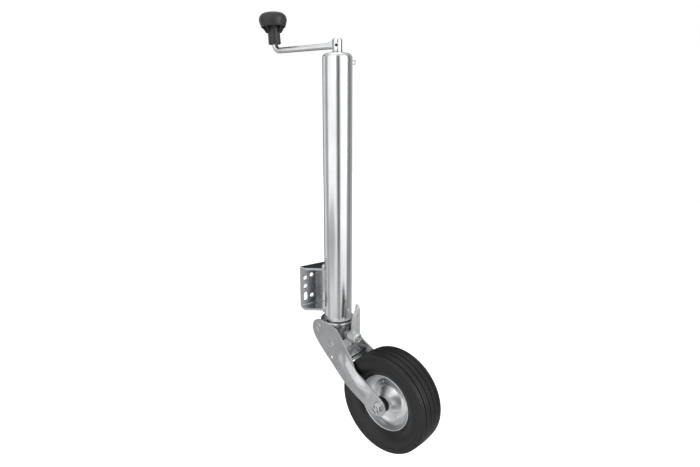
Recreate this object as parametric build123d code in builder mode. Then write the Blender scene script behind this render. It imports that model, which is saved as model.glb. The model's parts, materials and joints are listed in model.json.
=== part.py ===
from build123d import *
import os
from math import cos, pi, radians, sin, sqrt

# Jockey wheel with a swinging fork, in millimetres.
# The origin is the centre of the four bolt holes, on the bracket's back face.
# +X runs along the plate, +Y goes into the drawbar, +Z is up.

# Telescopic tubes
outer_radius = 30.0
outer_wall = 2.5
inner_radius = 24.0
inner_wall = 3.0
tube_top = 496.5
tube_bottom = -64.0
dome_corner = 10.0
dome_crown = 2.0
axis_offset = 65.0
tube_y = -axis_offset

# Fits and gaps
running_fit = 0.06
free_gap = 0.3
bolt_clearance = 0.25

# Bracket
plate_thickness = 5.0
plate_half_width = 60.0
plate_half_height = 50.0
flange_end_depth = 22.0
bend_outside = 7.0
bend_inside = 2.0
bolt_hole_radius = 5.25
inner_hole_x = 32.0
inner_hole_z = 24.5
outer_hole_x = 48.0
outer_hole_z = 19.5
slot_length = 21.0
weld_leg = 5.5

# Wire eye
eye_angle = -33.0
eye_z = 479.5
eye_wire_radius = 1.2
eye_bend_radius = 3.5
eye_reach = 2.6

# Spindle, bearing and nut
spindle_radius = 9.0
spindle_shoulder = 484.0
spindle_length = 319.0
neck_radius = 7.0
race_radius = 19.0
race_thickness = 2.5
ball_radius = 2.5
ball_circle = 13.6
ball_count = 12
nut_height = 22.0
nut_flange = 3.0
nut_headroom = 34.0
inner_top = spindle_shoulder - nut_headroom - nut_flange

# Crank and knob
hub_radius = 10.0
hub_gap = 0.6
hub_height = 24.5
hub_chamfer = 2.5
pin_radius = 2.5
pin_angle = 225.0
crank_angle = 110.0
crank_reach = 167.0
crank_height = 11.5
rod_radius = 6.0
rod_bend = 14.0
knob_lean = 4.0
knob_pin_radius = 5.0
knob_length = 64.0
knob_cap_radius = 29.5
knob_neck_radius = 13.2
knob_rim_height = 34.5
knob_rim_radius = 26.0
knob_bore_depth = 46.0
knob_rib_count = 8

# Guide bush in the lower end of the outer tube
bush_length = 52.0
bush_groove_z = -39.0
bush_groove_half = 3.8
dimple_radius = 3.0
dimple_depth = 1.1
dimple_count = 3

# Column head, collar cup and latch, heights from the cup's lip
swivel_rest = 13.0
lip_z = -66.0
cup_radius = 39.0
cheek_top = -4.8
cup_sheet = 2.5
head_top = -2.0
head_bottom = -46.0
pivot_s = -36.0
pivot_h = -26.0
pivot_radius = 8.0
boss_radius = 11.0
lug_half = 19.0
latch_l = 3.0
latch_h = -31.0
latch_pin_radius = 6.0
latch_pin_start = 10.0
latch_pin_end = 62.0
barrel_radius = 11.0
barrel_start = 38.0
barrel_end = 61.0
finger_start = 46.0
finger_end = 53.0
finger_top = 43.0
finger_right = -10.5
rib_rise = 2.5
hook_bottom = -66.0
hook_reach = 24.0
spring_wire = 0.7
spring_radius = 7.6
spring_turns = 4

# Fork
arm_sheet = 3.0
cheek_inside = 24.8
arm_inside = 40.0
cheek_outside = cheek_inside + arm_sheet
arm_outside = arm_inside + arm_sheet
flare_start = 62.0
flare_end = 124.0
flare_rise = 32.0
axle_s = 152.0
axle_h = -141.5
fork_end_radius = 20.0
lobe_radius = 20.5
bead_height = 8.0
bead_half_width = 15.0
bead_start = (50.0, -78.0)
bead_finish = (117.0, -119.5)
drain_place = (5.5, -85.9)
drain_radius = 3.5
pip_place = (20.6, -79.7)
pip_radius = 1.5
stop_s = 2.9
stop_radius = 7.0
stop_h = head_bottom - stop_radius - free_gap
bridge_sheet = 3.0
tyre_gap = 8.5
cross_rod_radius = 3.0
rod_s = 50.0
rod_h = -74.0
rod_cover = 2.5

# Wheel and axle
wheel_radius = 107.5
tread_drop = 1.6
tread_half = 29.0
wheel_half_width = 32.5
shoulder_radius = 8.0
lip_radius = 61.5
lip_lateral = 21.5
rim_sheet = 1.2
well_radius = 50.0
cup_disc_radius = 45.0
cone_foot_radius = 31.0
hub_cup_radius = 17.0
hub_cup_end = 25.5
rivet_circle = 39.5
rivet_radius = 2.5
rivet_head = 1.2
rivet_head_radius = 3.8
rivet_count = 4
axle_radius = 6.0
hexagon_flats = 19.0
nut_thickness = 8.0
washer_radius = 12.0
washer_sheet = 2.0
spacer_radius = 10.0
spacer_sheet = 2.4

# Directions and planes of the lower unit
up = Vector(0, 0, 1)
trail = Vector(sin(radians(swivel_rest)), -cos(radians(swivel_rest)), 0)
near = Vector(-cos(radians(swivel_rest)), -sin(radians(swivel_rest)), 0)
column_foot = Vector(0, tube_y, lip_z)


def place(s, lateral, h):
    """Point at s along the trail, lateral towards the near side, h above the lip."""
    return column_foot + trail * s + near * lateral + up * h


def side_plane(lateral):
    """Sketch plane of (s, h) that faces the near side."""
    return Plane(origin=place(0, lateral, 0), x_dir=trail, z_dir=near)


def cross_plane(s):
    """Sketch plane of (lateral, h) that faces the column."""
    return Plane(origin=place(s, 0, 0), x_dir=near, z_dir=-trail)


def column_section(angle, z=0.0):
    """Sketch plane of (radius, height) through the tube's axis at an angle."""
    outward = Vector(cos(radians(angle)), sin(radians(angle)), 0)
    return Plane(origin=(0, tube_y, z), x_dir=outward, z_dir=outward.cross(up))


def column_ring(label, low, high, bore, radius):
    """Ring about the tube's axis."""
    with BuildPart() as ring:
        with BuildSketch(Plane(origin=(0, tube_y, low))):
            Circle(radius)
            Circle(bore, mode=Mode.SUBTRACT)
        extrude(amount=high - low)
    ring.part.label = label
    return ring


def cross_bar(label, s, h, radius, half_length, end_chamfer=0.3):
    """Round bar that runs across the fork."""
    with BuildPart() as bar:
        with BuildSketch(side_plane(-half_length)):
            with Locations((s, h)):
                Circle(radius)
        extrude(amount=2 * half_length)
        chamfer(bar.part.edges().filter_by(GeomType.CIRCLE), length=end_chamfer)
    bar.part.label = label
    return bar


def axle_rings(label, laterals, radius, bore, sheet):
    """Equal rings about the axle, each from its own lateral outwards."""
    with BuildPart() as rings:
        for lateral in laterals:
            with BuildSketch(side_plane(lateral)):
                with Locations((axle_s, axle_h)):
                    Circle(radius)
                    Circle(bore, mode=Mode.SUBTRACT)
            extrude(amount=sheet)
    rings.part.label = label
    return rings


column_axis = Axis((0, tube_y, 0), (0, 0, 1))
axle_centre = place(axle_s, 0, axle_h)
axle_axis = Axis(axle_centre, near)
wheel_plane = Plane(origin=axle_centre, x_dir=(0, 0, 1), z_dir=trail)
inside_radius = outer_radius - outer_wall
dome_ceiling = tube_top - outer_wall
dome_top = tube_top + dome_crown

# Outer tube with its pressed dome and three dimples that hold the bush
ceiling_radius = race_radius + 0.2
ceiling_corner = inside_radius - ceiling_radius
with BuildPart() as outer_tube:
    with BuildSketch(column_section(0)):
        with BuildLine():
            Polyline((inside_radius, dome_ceiling - ceiling_corner), (inside_radius, tube_bottom),
                     (outer_radius, tube_bottom), (outer_radius, tube_top - dome_corner))
            RadiusArc((outer_radius, tube_top - dome_corner),
                      (outer_radius - dome_corner, tube_top), -dome_corner)
            Polyline((outer_radius - dome_corner, tube_top), (hub_radius + 1, dome_top),
                     (neck_radius + running_fit, dome_top),
                     (neck_radius + running_fit, dome_ceiling), (ceiling_radius, dome_ceiling))
            RadiusArc((ceiling_radius, dome_ceiling),
                      (inside_radius, dome_ceiling - ceiling_corner), ceiling_corner)
        make_face()
    revolve(axis=column_axis)
    for index in range(dimple_count):
        angle = swivel_rest - 90 + index * 360 / dimple_count
        outward = Vector(cos(radians(angle)), sin(radians(angle)), 0)
        centre = Vector(0, tube_y, bush_groove_z)
        foot = centre + outward * (inside_radius - dimple_depth)
        with BuildSketch(Plane(origin=foot, z_dir=outward)):
            Circle(dimple_radius)
        extrude(amount=outer_wall)
        mouth = centre + outward * (outer_radius + 0.5)
        with BuildSketch(Plane(origin=mouth, z_dir=-outward)):
            Circle(dimple_radius)
        extrude(amount=dimple_depth + 1, taper=30, mode=Mode.SUBTRACT)
outer_tube.part.label = "outer_tube"

# Bracket: a pressed channel whose flanges are notched around the tube
flange_meet = 16.5
flange_half = sqrt(outer_radius ** 2 - flange_meet ** 2)
with BuildPart() as mounting_bracket:
    with BuildSketch(Plane.XY.offset(-plate_half_height)):
        with BuildLine():
            Polyline((-flange_half, tube_y + flange_meet), (-plate_half_width, -flange_end_depth),
                     (-plate_half_width, 0), (plate_half_width, 0),
                     (plate_half_width, -flange_end_depth), (flange_half, tube_y + flange_meet))
            ThreePointArc((flange_half, tube_y + flange_meet), (0, tube_y + outer_radius),
                          (-flange_half, tube_y + flange_meet))
        make_face()
    extrude(amount=2 * plate_half_height)
    back_bends = mounting_bracket.part.edges().filter_by(Axis.X).group_by(Axis.Y)[-1]
    fillet(back_bends, radius=bend_outside)
    front_corners = mounting_bracket.part.edges().filter_by(Axis.Z).filter_by(
        lambda edge: abs(edge.center().Y + flange_end_depth) < 0.5)
    fillet(front_corners, radius=3)
    with BuildSketch(Plane.YZ.offset(-plate_half_width - 1)):
        with Locations((-axis_offset / 2 - plate_thickness, 0)):
            RectangleRounded(axis_offset, 2 * (plate_half_height - plate_thickness), bend_inside)
    extrude(amount=2 * plate_half_width + 2, mode=Mode.SUBTRACT)
    with BuildSketch(Plane.XZ.offset(-1)):
        with GridLocations(2 * inner_hole_x, 2 * inner_hole_z, 2, 2):
            Circle(bolt_hole_radius)
        with GridLocations(2 * outer_hole_x, outer_hole_z, 2, 2):
            with Locations((0, outer_hole_z / 2)):
                Circle(bolt_hole_radius)
        with Locations((-outer_hole_x, -inner_hole_z), (outer_hole_x, -inner_hole_z)):
            SlotOverall(slot_length, 2 * bolt_hole_radius, rotation=90)
    extrude(amount=plate_thickness + 2, mode=Mode.SUBTRACT)
mounting_bracket.part.label = "mounting_bracket"

# Weld beads along the notches, one on each flange
weld_sweep = 110.0
with BuildPart() as bracket_welds:
    for side in (1, -1):
        level = side * plate_half_height
        with BuildSketch(column_section(90 - weld_sweep / 2)):
            with BuildLine():
                Polyline((outer_radius, level + side * weld_leg), (outer_radius, level),
                         (outer_radius + weld_leg, level))
                ThreePointArc((outer_radius + weld_leg, level),
                              (outer_radius + weld_leg * 0.62, level + side * weld_leg * 0.62),
                              (outer_radius, level + side * weld_leg))
            make_face()
        revolve(axis=column_axis, revolution_arc=weld_sweep)
bracket_welds.part.label = "bracket_welds"

# Wire eye, a staple welded to the tube
eye_out = Vector(cos(radians(eye_angle)), sin(radians(eye_angle)), 0)
eye_plane = Plane(origin=(0, tube_y, eye_z), x_dir=eye_out, z_dir=eye_out.cross(up))
eye_leg_end = outer_radius + eye_reach
with BuildPart() as wire_eye:
    with BuildLine(eye_plane) as eye_path:
        Line((outer_radius - 0.5, eye_bend_radius), (eye_leg_end, eye_bend_radius))
        ThreePointArc((eye_leg_end, eye_bend_radius), (eye_leg_end + eye_bend_radius, 0),
                      (eye_leg_end, -eye_bend_radius))
        Line((eye_leg_end, -eye_bend_radius), (outer_radius - 0.5, -eye_bend_radius))
    with BuildSketch(Plane(origin=eye_path.line @ 0, z_dir=eye_path.line % 0)):
        Circle(eye_wire_radius)
    sweep(path=eye_path.line)
    with BuildSketch(Plane(origin=(0, tube_y, eye_z - 10))):
        Circle(outer_radius)
    extrude(amount=20, mode=Mode.SUBTRACT)
wire_eye.part.label = "wire_eye"

# Thrust bearing under the dome
race_top_low = dome_ceiling - race_thickness
race_low_high = spindle_shoulder + race_thickness
bearing_upper_race = column_ring("bearing_upper_race", race_top_low, dome_ceiling,
                                 neck_radius + free_gap + 0.2, race_radius)
bearing_lower_race = column_ring("bearing_lower_race", spindle_shoulder, race_low_high,
                                 neck_radius, race_radius)

ball_z = (race_top_low + race_low_high) / 2
with BuildPart() as bearing_balls:
    with Locations((0, tube_y, ball_z)):
        with PolarLocations(ball_circle, ball_count):
            Sphere((race_top_low - race_low_high) / 2 - 0.02)
bearing_balls.part.label = "bearing_balls"

# Spindle with its neck, pinned to the crank hub
hub_bottom = dome_top + hub_gap
hub_top = hub_bottom + hub_height
crank_z = hub_bottom + crank_height
neck_top = hub_top - 4
crank_out = Vector(cos(radians(crank_angle)), sin(radians(crank_angle)), 0)
crank_side = up.cross(crank_out)
pin_out = Vector(cos(radians(pin_angle)), sin(radians(pin_angle)), 0)
pin_plane = Plane(origin=Vector(0, tube_y, crank_z) - pin_out * (hub_radius + 1),
                  x_dir=up, z_dir=pin_out)
with BuildPart() as spindle:
    with BuildSketch(Plane(origin=(0, tube_y, spindle_shoulder - spindle_length))):
        Circle(spindle_radius)
    extrude(amount=spindle_length)
    chamfer(spindle.part.edges().group_by(Axis.Z)[0], length=1.5)
    with BuildSketch(Plane(origin=(0, tube_y, spindle_shoulder))):
        Circle(neck_radius)
    extrude(amount=neck_top - spindle_shoulder)
    with BuildSketch(pin_plane):
        Circle(pin_radius)
    extrude(amount=2 * hub_radius + 2, mode=Mode.SUBTRACT)
spindle.part.label = "spindle"

with BuildPart() as crank_hub:
    with BuildSketch(Plane(origin=(0, tube_y, hub_bottom))):
        Circle(hub_radius)
    extrude(amount=hub_height)
    chamfer(crank_hub.part.edges().group_by(Axis.Z)[-1], length=hub_chamfer)
    with BuildSketch(Plane(origin=(0, tube_y, hub_bottom))):
        Circle(neck_radius)
    extrude(amount=neck_top - hub_bottom, mode=Mode.SUBTRACT)
    with BuildSketch(pin_plane):
        Circle(pin_radius)
    extrude(amount=2 * hub_radius + 2, mode=Mode.SUBTRACT)
crank_hub.part.label = "crank_hub"

with BuildPart() as crank_pin:
    with BuildSketch(pin_plane):
        Circle(pin_radius)
        Circle(pin_radius / 2, mode=Mode.SUBTRACT)
        with Locations((pin_radius, 0)):
            Rectangle(2 * pin_radius, 0.8, mode=Mode.SUBTRACT)
    extrude(amount=2 * hub_radius + 2)
crank_pin.part.label = "crank_pin"

# Crank arm: one rod, bent up into the knob's pin
arm_plane = Plane(origin=(0, tube_y, crank_z), x_dir=crank_out, z_dir=crank_out.cross(up))
lean = radians(knob_lean)
knob_axis_dir = crank_out * sin(lean) + up * cos(lean)
bend_start = (crank_reach - rod_bend, 0)
bend_end = (bend_start[0] + rod_bend * cos(lean), rod_bend * (1 - sin(lean)))
bend_mid_angle = (radians(90) - lean) / 2
bend_mid = (bend_start[0] + rod_bend * sin(bend_mid_angle),
            rod_bend * (1 - cos(bend_mid_angle)))
knob_foot = Vector(0, tube_y, crank_z) + crank_out * bend_end[0] + up * bend_end[1]
knob_plane = Plane(origin=knob_foot, x_dir=crank_side, z_dir=knob_axis_dir)
clip_sheet = 1.2
clip_radius = 8.5
clip_height = knob_bore_depth + free_gap
with BuildPart() as crank_arm:
    with BuildLine(arm_plane) as arm_path:
        Line((hub_radius - 2, 0), bend_start)
        ThreePointArc(bend_start, bend_mid, bend_end)
    with BuildSketch(Plane(origin=arm_path.line @ 0, z_dir=arm_path.line % 0)):
        Circle(rod_radius)
    sweep(path=arm_path.line)
    with BuildSketch(arm_plane):
        with BuildLine():
            Polyline((hub_radius - 2, crank_height - 12), (hub_radius + 16, -rod_radius + 0.5),
                     (hub_radius + 16, rod_radius - 0.5), (hub_radius - 2, 10),
                     (hub_radius - 2, crank_height - 12))
        make_face()
    extrude(amount=3.5, both=True)
    with BuildSketch(Plane(origin=(0, tube_y, hub_bottom - 5))):
        Circle(hub_radius)
    extrude(amount=hub_height + 10, mode=Mode.SUBTRACT)
    with BuildSketch(knob_plane):
        Circle(knob_pin_radius)
    extrude(amount=clip_height + clip_sheet + 1)
    chamfer(crank_arm.part.edges().group_by(Axis(knob_foot, knob_axis_dir))[-1], length=0.8)
crank_arm.part.label = "crank_arm"

with BuildPart() as knob_clip:
    with BuildSketch(knob_plane.offset(clip_height)):
        Circle(clip_radius)
        Circle(knob_pin_radius, mode=Mode.SUBTRACT)
        with PolarLocations(clip_radius, 4):
            Circle(1.6, mode=Mode.SUBTRACT)
    extrude(amount=clip_sheet)
knob_clip.part.label = "knob_clip"

# Knob: a hollow cap on a neck, stiffened by radial ribs
knob_base = 0.5
cap_wall = 3.0
knob_flat = 4.0
knob_section = Plane(origin=knob_foot, x_dir=crank_side, z_dir=crank_side.cross(knob_axis_dir))
knob_axis = Axis(knob_section.origin, knob_section.y_dir)
neck_top_radius = knob_neck_radius - 0.9
with BuildPart() as crank_knob:
    with BuildSketch(knob_section):
        with BuildLine():
            bore = knob_pin_radius + running_fit
            pocket = clip_radius + free_gap + 0.3
            pocket_top = knob_bore_depth + clip_sheet + 4
            ceiling = knob_rim_height + 10
            inside = knob_rim_radius - cap_wall
            Polyline((0, pocket_top), (pocket, pocket_top), (pocket, knob_bore_depth),
                     (bore, knob_bore_depth), (bore, knob_base), (knob_neck_radius - 1, knob_base),
                     (knob_neck_radius, knob_base + 1), (neck_top_radius, ceiling - 1))
            ThreePointArc((neck_top_radius, ceiling - 1),
                          (inside - 3, ceiling - 1.5), (inside, knob_rim_height))
            Polyline((inside, knob_rim_height), (knob_rim_radius - 1, knob_rim_height),
                     (knob_rim_radius, knob_rim_height + 1.2),
                     (knob_cap_radius - 0.6, knob_length - 19))
            ThreePointArc((knob_cap_radius - 0.6, knob_length - 19),
                          (knob_cap_radius, knob_length - 15.5),
                          (knob_cap_radius - 0.4, knob_length - 12))
            ThreePointArc((knob_cap_radius - 0.4, knob_length - 12),
                          (knob_cap_radius - 4, knob_length - 5),
                          (knob_cap_radius - 12, knob_length - 1.4))
            ThreePointArc((knob_cap_radius - 12, knob_length - 1.4), (10, knob_length - 0.3),
                          (knob_flat, knob_length))
            Polyline((knob_flat, knob_length), (0, knob_length), (0, pocket_top))
        make_face()
    revolve(axis=knob_axis)
    for index in range(knob_rib_count):
        turn = radians(index * 360 / knob_rib_count)
        rib_out = crank_side * cos(turn) + knob_axis_dir.cross(crank_side) * sin(turn)
        with BuildSketch(Plane(origin=knob_foot, x_dir=rib_out, z_dir=rib_out.cross(knob_axis_dir))):
            with BuildLine():
                Polyline((neck_top_radius - 1, knob_rim_height - 12),
                         (neck_top_radius + 4, knob_rim_height - 11),
                         (inside + 0.8, knob_rim_height + 0.6), (inside + 0.8, knob_rim_height + 8),
                         (neck_top_radius - 1, knob_rim_height + 8),
                         (neck_top_radius - 1, knob_rim_height - 12))
            make_face()
        extrude(amount=1.3, both=True)
crank_knob.part.label = "crank_knob"

# Guide bush that the column slides in and turns with
bush_top = tube_bottom + bush_length
bush_inner = inner_radius + running_fit
bush_outer = inside_radius - running_fit
groove_radius = inside_radius - dimple_depth - free_gap
with BuildPart() as guide_bush:
    with BuildSketch(column_section(0)):
        with BuildLine():
            Polyline((bush_inner, bush_top), (bush_inner, tube_bottom), (bush_outer, tube_bottom),
                     (bush_outer, bush_groove_z - bush_groove_half),
                     (groove_radius, bush_groove_z - bush_groove_half),
                     (groove_radius, bush_groove_z + bush_groove_half),
                     (bush_outer, bush_groove_z + bush_groove_half), (bush_outer, bush_top),
                     (bush_inner, bush_top))
        make_face()
    revolve(axis=column_axis)
guide_bush.part.label = "guide_bush"

# Inner tube and the nut pressed into its top
inner_bore = inner_radius - inner_wall
inner_tube = column_ring("inner_tube", lip_z + head_top, inner_top, inner_bore, inner_radius)

nut_bore = spindle_radius + running_fit
with BuildPart() as spindle_nut:
    with BuildSketch(Plane(origin=(0, tube_y, inner_top - nut_height))):
        Circle(inner_bore)
    extrude(amount=nut_height)
    with BuildSketch(Plane(origin=(0, tube_y, inner_top))):
        Circle(inner_radius - 0.1)
    extrude(amount=nut_flange)
    with BuildSketch(Plane(origin=(0, tube_y, inner_top - nut_height))):
        Circle(nut_bore)
    extrude(amount=nut_height + nut_flange, mode=Mode.SUBTRACT)
spindle_nut.part.label = "spindle_nut"

# Collar cup, a trumpet of sheet under the tube; its outline also trims the head
cup_under = ((cup_radius, -cup_sheet), (34.5, -cup_sheet - 1.2), (30, -7), (27, -12), (25.5, -16))
cup_over = ((inner_radius, -10), (26.5, -6.3), (30.5, -2.4), (35, -0.3), (cup_radius, 0))
with BuildPart() as collar_cup:
    with BuildSketch(column_section(0, lip_z)):
        with BuildLine():
            Line(cup_over[4], cup_under[0])
            Spline(cup_under, tangents=((-1, -0.1), (-0.2, -1)))
            Polyline(cup_under[4], (inner_radius, cup_under[4][1]), cup_over[0])
            Spline(cup_over, tangents=((0.35, 1), (1, 0.05)))
        make_face()
    revolve(axis=column_axis)
    for direction in (1, -1):
        with BuildSketch(side_plane(direction * (cheek_inside - free_gap))):
            with Locations((0, cheek_top + free_gap - 15)):
                Rectangle(2 * cup_radius, 30)
        extrude(amount=direction * cup_radius, mode=Mode.SUBTRACT)
collar_cup.part.label = "collar_cup"

# Column head: a round casting with the cross boss of the fork's pivot
with BuildPart() as column_head:
    with BuildSketch(Plane(origin=(0, tube_y, lip_z + head_bottom))):
        Circle(inner_radius)
    extrude(amount=head_top - head_bottom)
    chamfer(column_head.part.edges().group_by(Axis.Z)[0], length=1.5)
    with BuildSketch(side_plane(-cheek_inside + free_gap)):
        with Locations((pivot_s, pivot_h)):
            Circle(boss_radius)
    extrude(amount=2 * (cheek_inside - free_gap))
    with BuildSketch(side_plane(-lug_half)):
        with BuildLine():
            Polyline((0, pivot_h + 6), (-inner_radius, pivot_h + 8),
                     (pivot_s + 2, pivot_h + boss_radius - free_gap),
                     (pivot_s + 2, pivot_h - boss_radius + free_gap), (-inner_radius + 4, head_bottom),
                     (0, head_bottom), (0, pivot_h + 6))
        make_face()
    extrude(amount=2 * lug_half)
    with BuildSketch(side_plane(0)):
        with Locations((pivot_s, pivot_h)):
            Circle(pivot_radius + running_fit)
    extrude(amount=cheek_outside, both=True, mode=Mode.SUBTRACT)
    with BuildSketch(cross_plane(inner_radius + 2)):
        with Locations((latch_l, latch_h)):
            Circle(latch_pin_radius)
    extrude(amount=inner_radius + 2 - latch_pin_start, mode=Mode.SUBTRACT)
    for lateral in (-8, 8):
        with BuildSketch(cross_plane(inner_radius + 1)):
            with Locations((lateral, -18)):
                Rectangle(2.4, 12)
        extrude(amount=6, mode=Mode.SUBTRACT)
column_head.part.label = "column_head"

with BuildPart() as latch_pin:
    with BuildSketch(cross_plane(latch_pin_end)):
        with Locations((latch_l, latch_h)):
            Circle(latch_pin_radius)
    extrude(amount=latch_pin_end - latch_pin_start)
    with BuildSketch(cross_plane(latch_pin_end)):
        with Locations((latch_l, latch_h)):
            Circle(2.2)
    extrude(amount=2.5, taper=35, mode=Mode.SUBTRACT)
latch_pin.part.label = "latch_pin"

# Latch lever: finger above the barrel, hook below it
with BuildPart() as latch_lever:
    with BuildSketch(cross_plane(finger_end)):
        with BuildLine():
            Polyline((finger_right, latch_h), (finger_right, finger_top - 7))
            ThreePointArc((finger_right, finger_top - 7), (finger_right + 1, finger_top - 1.5),
                          (finger_right + 4, finger_top))
            Polyline((finger_right + 4, finger_top), (finger_right + 7.5, finger_top - 1.5),
                     (finger_right + 9.5, finger_top - 8), (finger_right + 12, finger_top - 9.5),
                     (finger_right + 14, finger_top - 16), (finger_right + 16.5, finger_top - 18),
                     (finger_right + 18, finger_top - 26), (finger_right + 20, finger_top - 29),
                     (finger_right + 21, latch_h + 15), (latch_l + barrel_radius - 1, latch_h))
            Polyline((latch_l + barrel_radius - 1, latch_h), (hook_reach - 9, latch_h - 14),
                     (hook_reach - 9, hook_bottom + 17))
            ThreePointArc((hook_reach - 9, hook_bottom + 17), (hook_reach - 7, hook_bottom + 12.5),
                          (hook_reach - 4, hook_bottom + 15.5))
            Line((hook_reach - 4, hook_bottom + 15.5), (hook_reach, hook_bottom + 14))
            ThreePointArc((hook_reach, hook_bottom + 14), (hook_reach - 2.5, hook_bottom + 6),
                          (hook_reach - 9, hook_bottom))
            Polyline((hook_reach - 9, hook_bottom), (latch_l - 9, hook_bottom + 3),
                     (latch_l - 12, hook_bottom + 12), (latch_l - 10, latch_h - 8),
                     (finger_right, latch_h))
        make_face()
    extrude(amount=finger_end - finger_start)
    with BuildSketch(cross_plane(finger_end + rib_rise)):
        with BuildLine():
            Polyline((finger_right, latch_h + 4), (finger_right, finger_top - 9),
                     (finger_right + 3, finger_top - 5), (finger_right + 6, finger_top - 9),
                     (finger_right + 6, latch_h + 4), (finger_right, latch_h + 4))
        make_face()
    extrude(amount=rib_rise + 1)
    with BuildSketch(cross_plane(barrel_end)):
        with Locations((latch_l, latch_h)):
            Circle(barrel_radius)
    extrude(amount=barrel_end - barrel_start)
    with BuildSketch(cross_plane(barrel_end + 1)):
        with Locations((latch_l, latch_h)):
            Circle(latch_pin_radius + running_fit)
    extrude(amount=barrel_end - barrel_start + 2, mode=Mode.SUBTRACT)
    with BuildSketch(cross_plane(barrel_start + 11)):
        with Locations((latch_l, latch_h)):
            Circle(spring_radius + spring_wire + 0.7)
    extrude(amount=12, mode=Mode.SUBTRACT)
latch_lever.part.label = "latch_lever"

# Return spring round the latch pin, inside the barrel's counterbore
spring_pitch = 2.2
with BuildPart() as latch_spring:
    spring_start = place(barrel_start + 0.9, latch_l, latch_h)
    with BuildLine():
        coil = Helix(pitch=spring_pitch, height=spring_pitch * spring_turns, radius=spring_radius,
                     center=spring_start, direction=trail)
    with BuildSketch(Plane(origin=coil @ 0, z_dir=coil % 0)):
        Circle(spring_wire)
    sweep(path=coil)
latch_spring.part.label = "latch_spring"


# Joggle of the arms: two bends across the arm take it from the head's width to the wheel's
flare_dir = trail * cos(radians(flare_rise)) - up * sin(radians(flare_rise))
flare_plane = Plane(origin=column_foot, x_dir=flare_dir, z_dir=flare_dir.cross(near))
arm_reach = 260.0
joggle = arm_inside - cheek_inside


def mirrored_flare(direction):
    """Sketch plane of (along, lateral) for the near arm at 1 and the far one at -1."""
    return Plane(origin=flare_plane.origin, x_dir=flare_dir, z_dir=flare_plane.z_dir * direction)


def flare_outline(inside, outside):
    """Face between two offsets of the arm's joggle, seen square to its bends."""
    bends = ((-arm_reach, cheek_inside), (flare_start, cheek_inside),
             (flare_end, arm_inside), (arm_reach, arm_inside))
    low = [(along, lateral + inside) for along, lateral in bends]
    high = [(along, lateral + outside) for along, lateral in reversed(bends)]
    with BuildSketch() as strip:
        with BuildLine():
            Polyline(*low, *high, low[0])
        make_face()
    return strip.sketch


def along_flare(s, h):
    """Distance along the arm, as the bends count it."""
    return s * cos(radians(flare_rise)) - h * sin(radians(flare_rise))


def face_lateral(s, h):
    """Lateral distance of the arm's outer face at (s, h)."""
    share = (along_flare(s, h) - flare_start) / (flare_end - flare_start)
    share = min(max(share, 0), 1)
    return cheek_outside + share * joggle


rod_half = face_lateral(rod_s, rod_h) + bead_height - rod_cover


def fork_arm(label, direction):
    """Pressed arm: joggled plate with a lobe and a round end, and the bead's hollow half-tube."""
    bead_radius = (bead_half_width ** 2 + bead_height ** 2) / (2 * bead_height)
    sink = bead_height - bead_radius
    bend_along = flare_end - along_flare(*bead_start)
    bead_bend = (bead_start[0] + bend_along * cos(radians(flare_rise)),
                 bead_start[1] - bend_along * sin(radians(flare_rise)))
    centres = [place(s, direction * (face_lateral(s, h) + sink), h)
               for s, h in (bead_start, bead_bend, bead_finish)]
    flat = mirrored_flare(direction)
    with BuildPart() as arm:
        with BuildSketch(side_plane(0)):
            with BuildLine():
                Spline((-47.5, -49.5), (-22.5, -75.7), (0, -94.4), (30, -112.5), (60, -126),
                       (90, -139.3), (120, -153.5), (axle_s - 8, axle_h - fork_end_radius - 1.3),
                       tangents=((0.55, -0.75), (1, -0.12)))
                Spline((axle_s - 8, axle_h - fork_end_radius - 1.3), (axle_s + 10, axle_h - 17),
                       (axle_s + 18.6, axle_h - 1), (axle_s + 13, axle_h + 15), (axle_s, axle_h + 23.8),
                       tangents=((1, -0.12), (-1, 0.55)))
                Spline((axle_s, axle_h + 23.8), (127.5, -102.6), (102, -89.6), (87, -82),
                       (77, -69.5), (66, -58.8), (53.3, -50), (36.8, -33.3), (20.2, -16.1), (4, -8.6),
                       tangents=((-1, 0.55), (-1, 0.28)))
                Spline((4, -8.6), (-16, cheek_top), (pivot_s + 2, pivot_h + lobe_radius),
                       tangents=((-1, 0.28), (-1, -0.1)))
                Spline((pivot_s + 2, pivot_h + lobe_radius), (pivot_s - 15.5, pivot_h + 10),
                       (pivot_s - 17.6, pivot_h - 11), (-47.5, -49.5),
                       tangents=((-1, -0.1), (0.55, -0.75)))
            make_face()
        extrude(amount=arm_reach, both=True)
        extrude(flat * flare_outline(0, arm_sheet), amount=arm_reach, both=True, mode=Mode.INTERSECT)
        for radius, mode in ((bead_radius, Mode.ADD), (bead_radius - arm_sheet, Mode.SUBTRACT)):
            with BuildPart(mode=Mode.PRIVATE) as capsule:
                for first, second in zip(centres[:-1], centres[1:]):
                    with BuildSketch(Plane(origin=first, z_dir=second - first)):
                        Circle(radius)
                    extrude(amount=(second - first).length)
                with Locations(*centres):
                    Sphere(radius)
                extrude(flat * flare_outline(0, 2 * bead_half_width), amount=arm_reach, both=True,
                        mode=Mode.INTERSECT)
            add(capsule.part, mode=mode)
        with BuildSketch(side_plane(0)):
            with Locations((pivot_s, pivot_h)):
                Circle(pivot_radius)
            with Locations((stop_s, stop_h)):
                Circle(stop_radius)
            with Locations((axle_s, axle_h)):
                Circle(axle_radius + bolt_clearance)
            with Locations(drain_place):
                Circle(drain_radius)
            with Locations(pip_place):
                Circle(pip_radius)
        extrude(amount=direction * arm_reach, mode=Mode.SUBTRACT)
        with BuildSketch(side_plane(0)):
            with Locations((rod_s, rod_h)):
                Circle(cross_rod_radius)
        extrude(amount=direction * rod_half, mode=Mode.SUBTRACT)
    arm.part.label = label
    return arm


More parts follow.
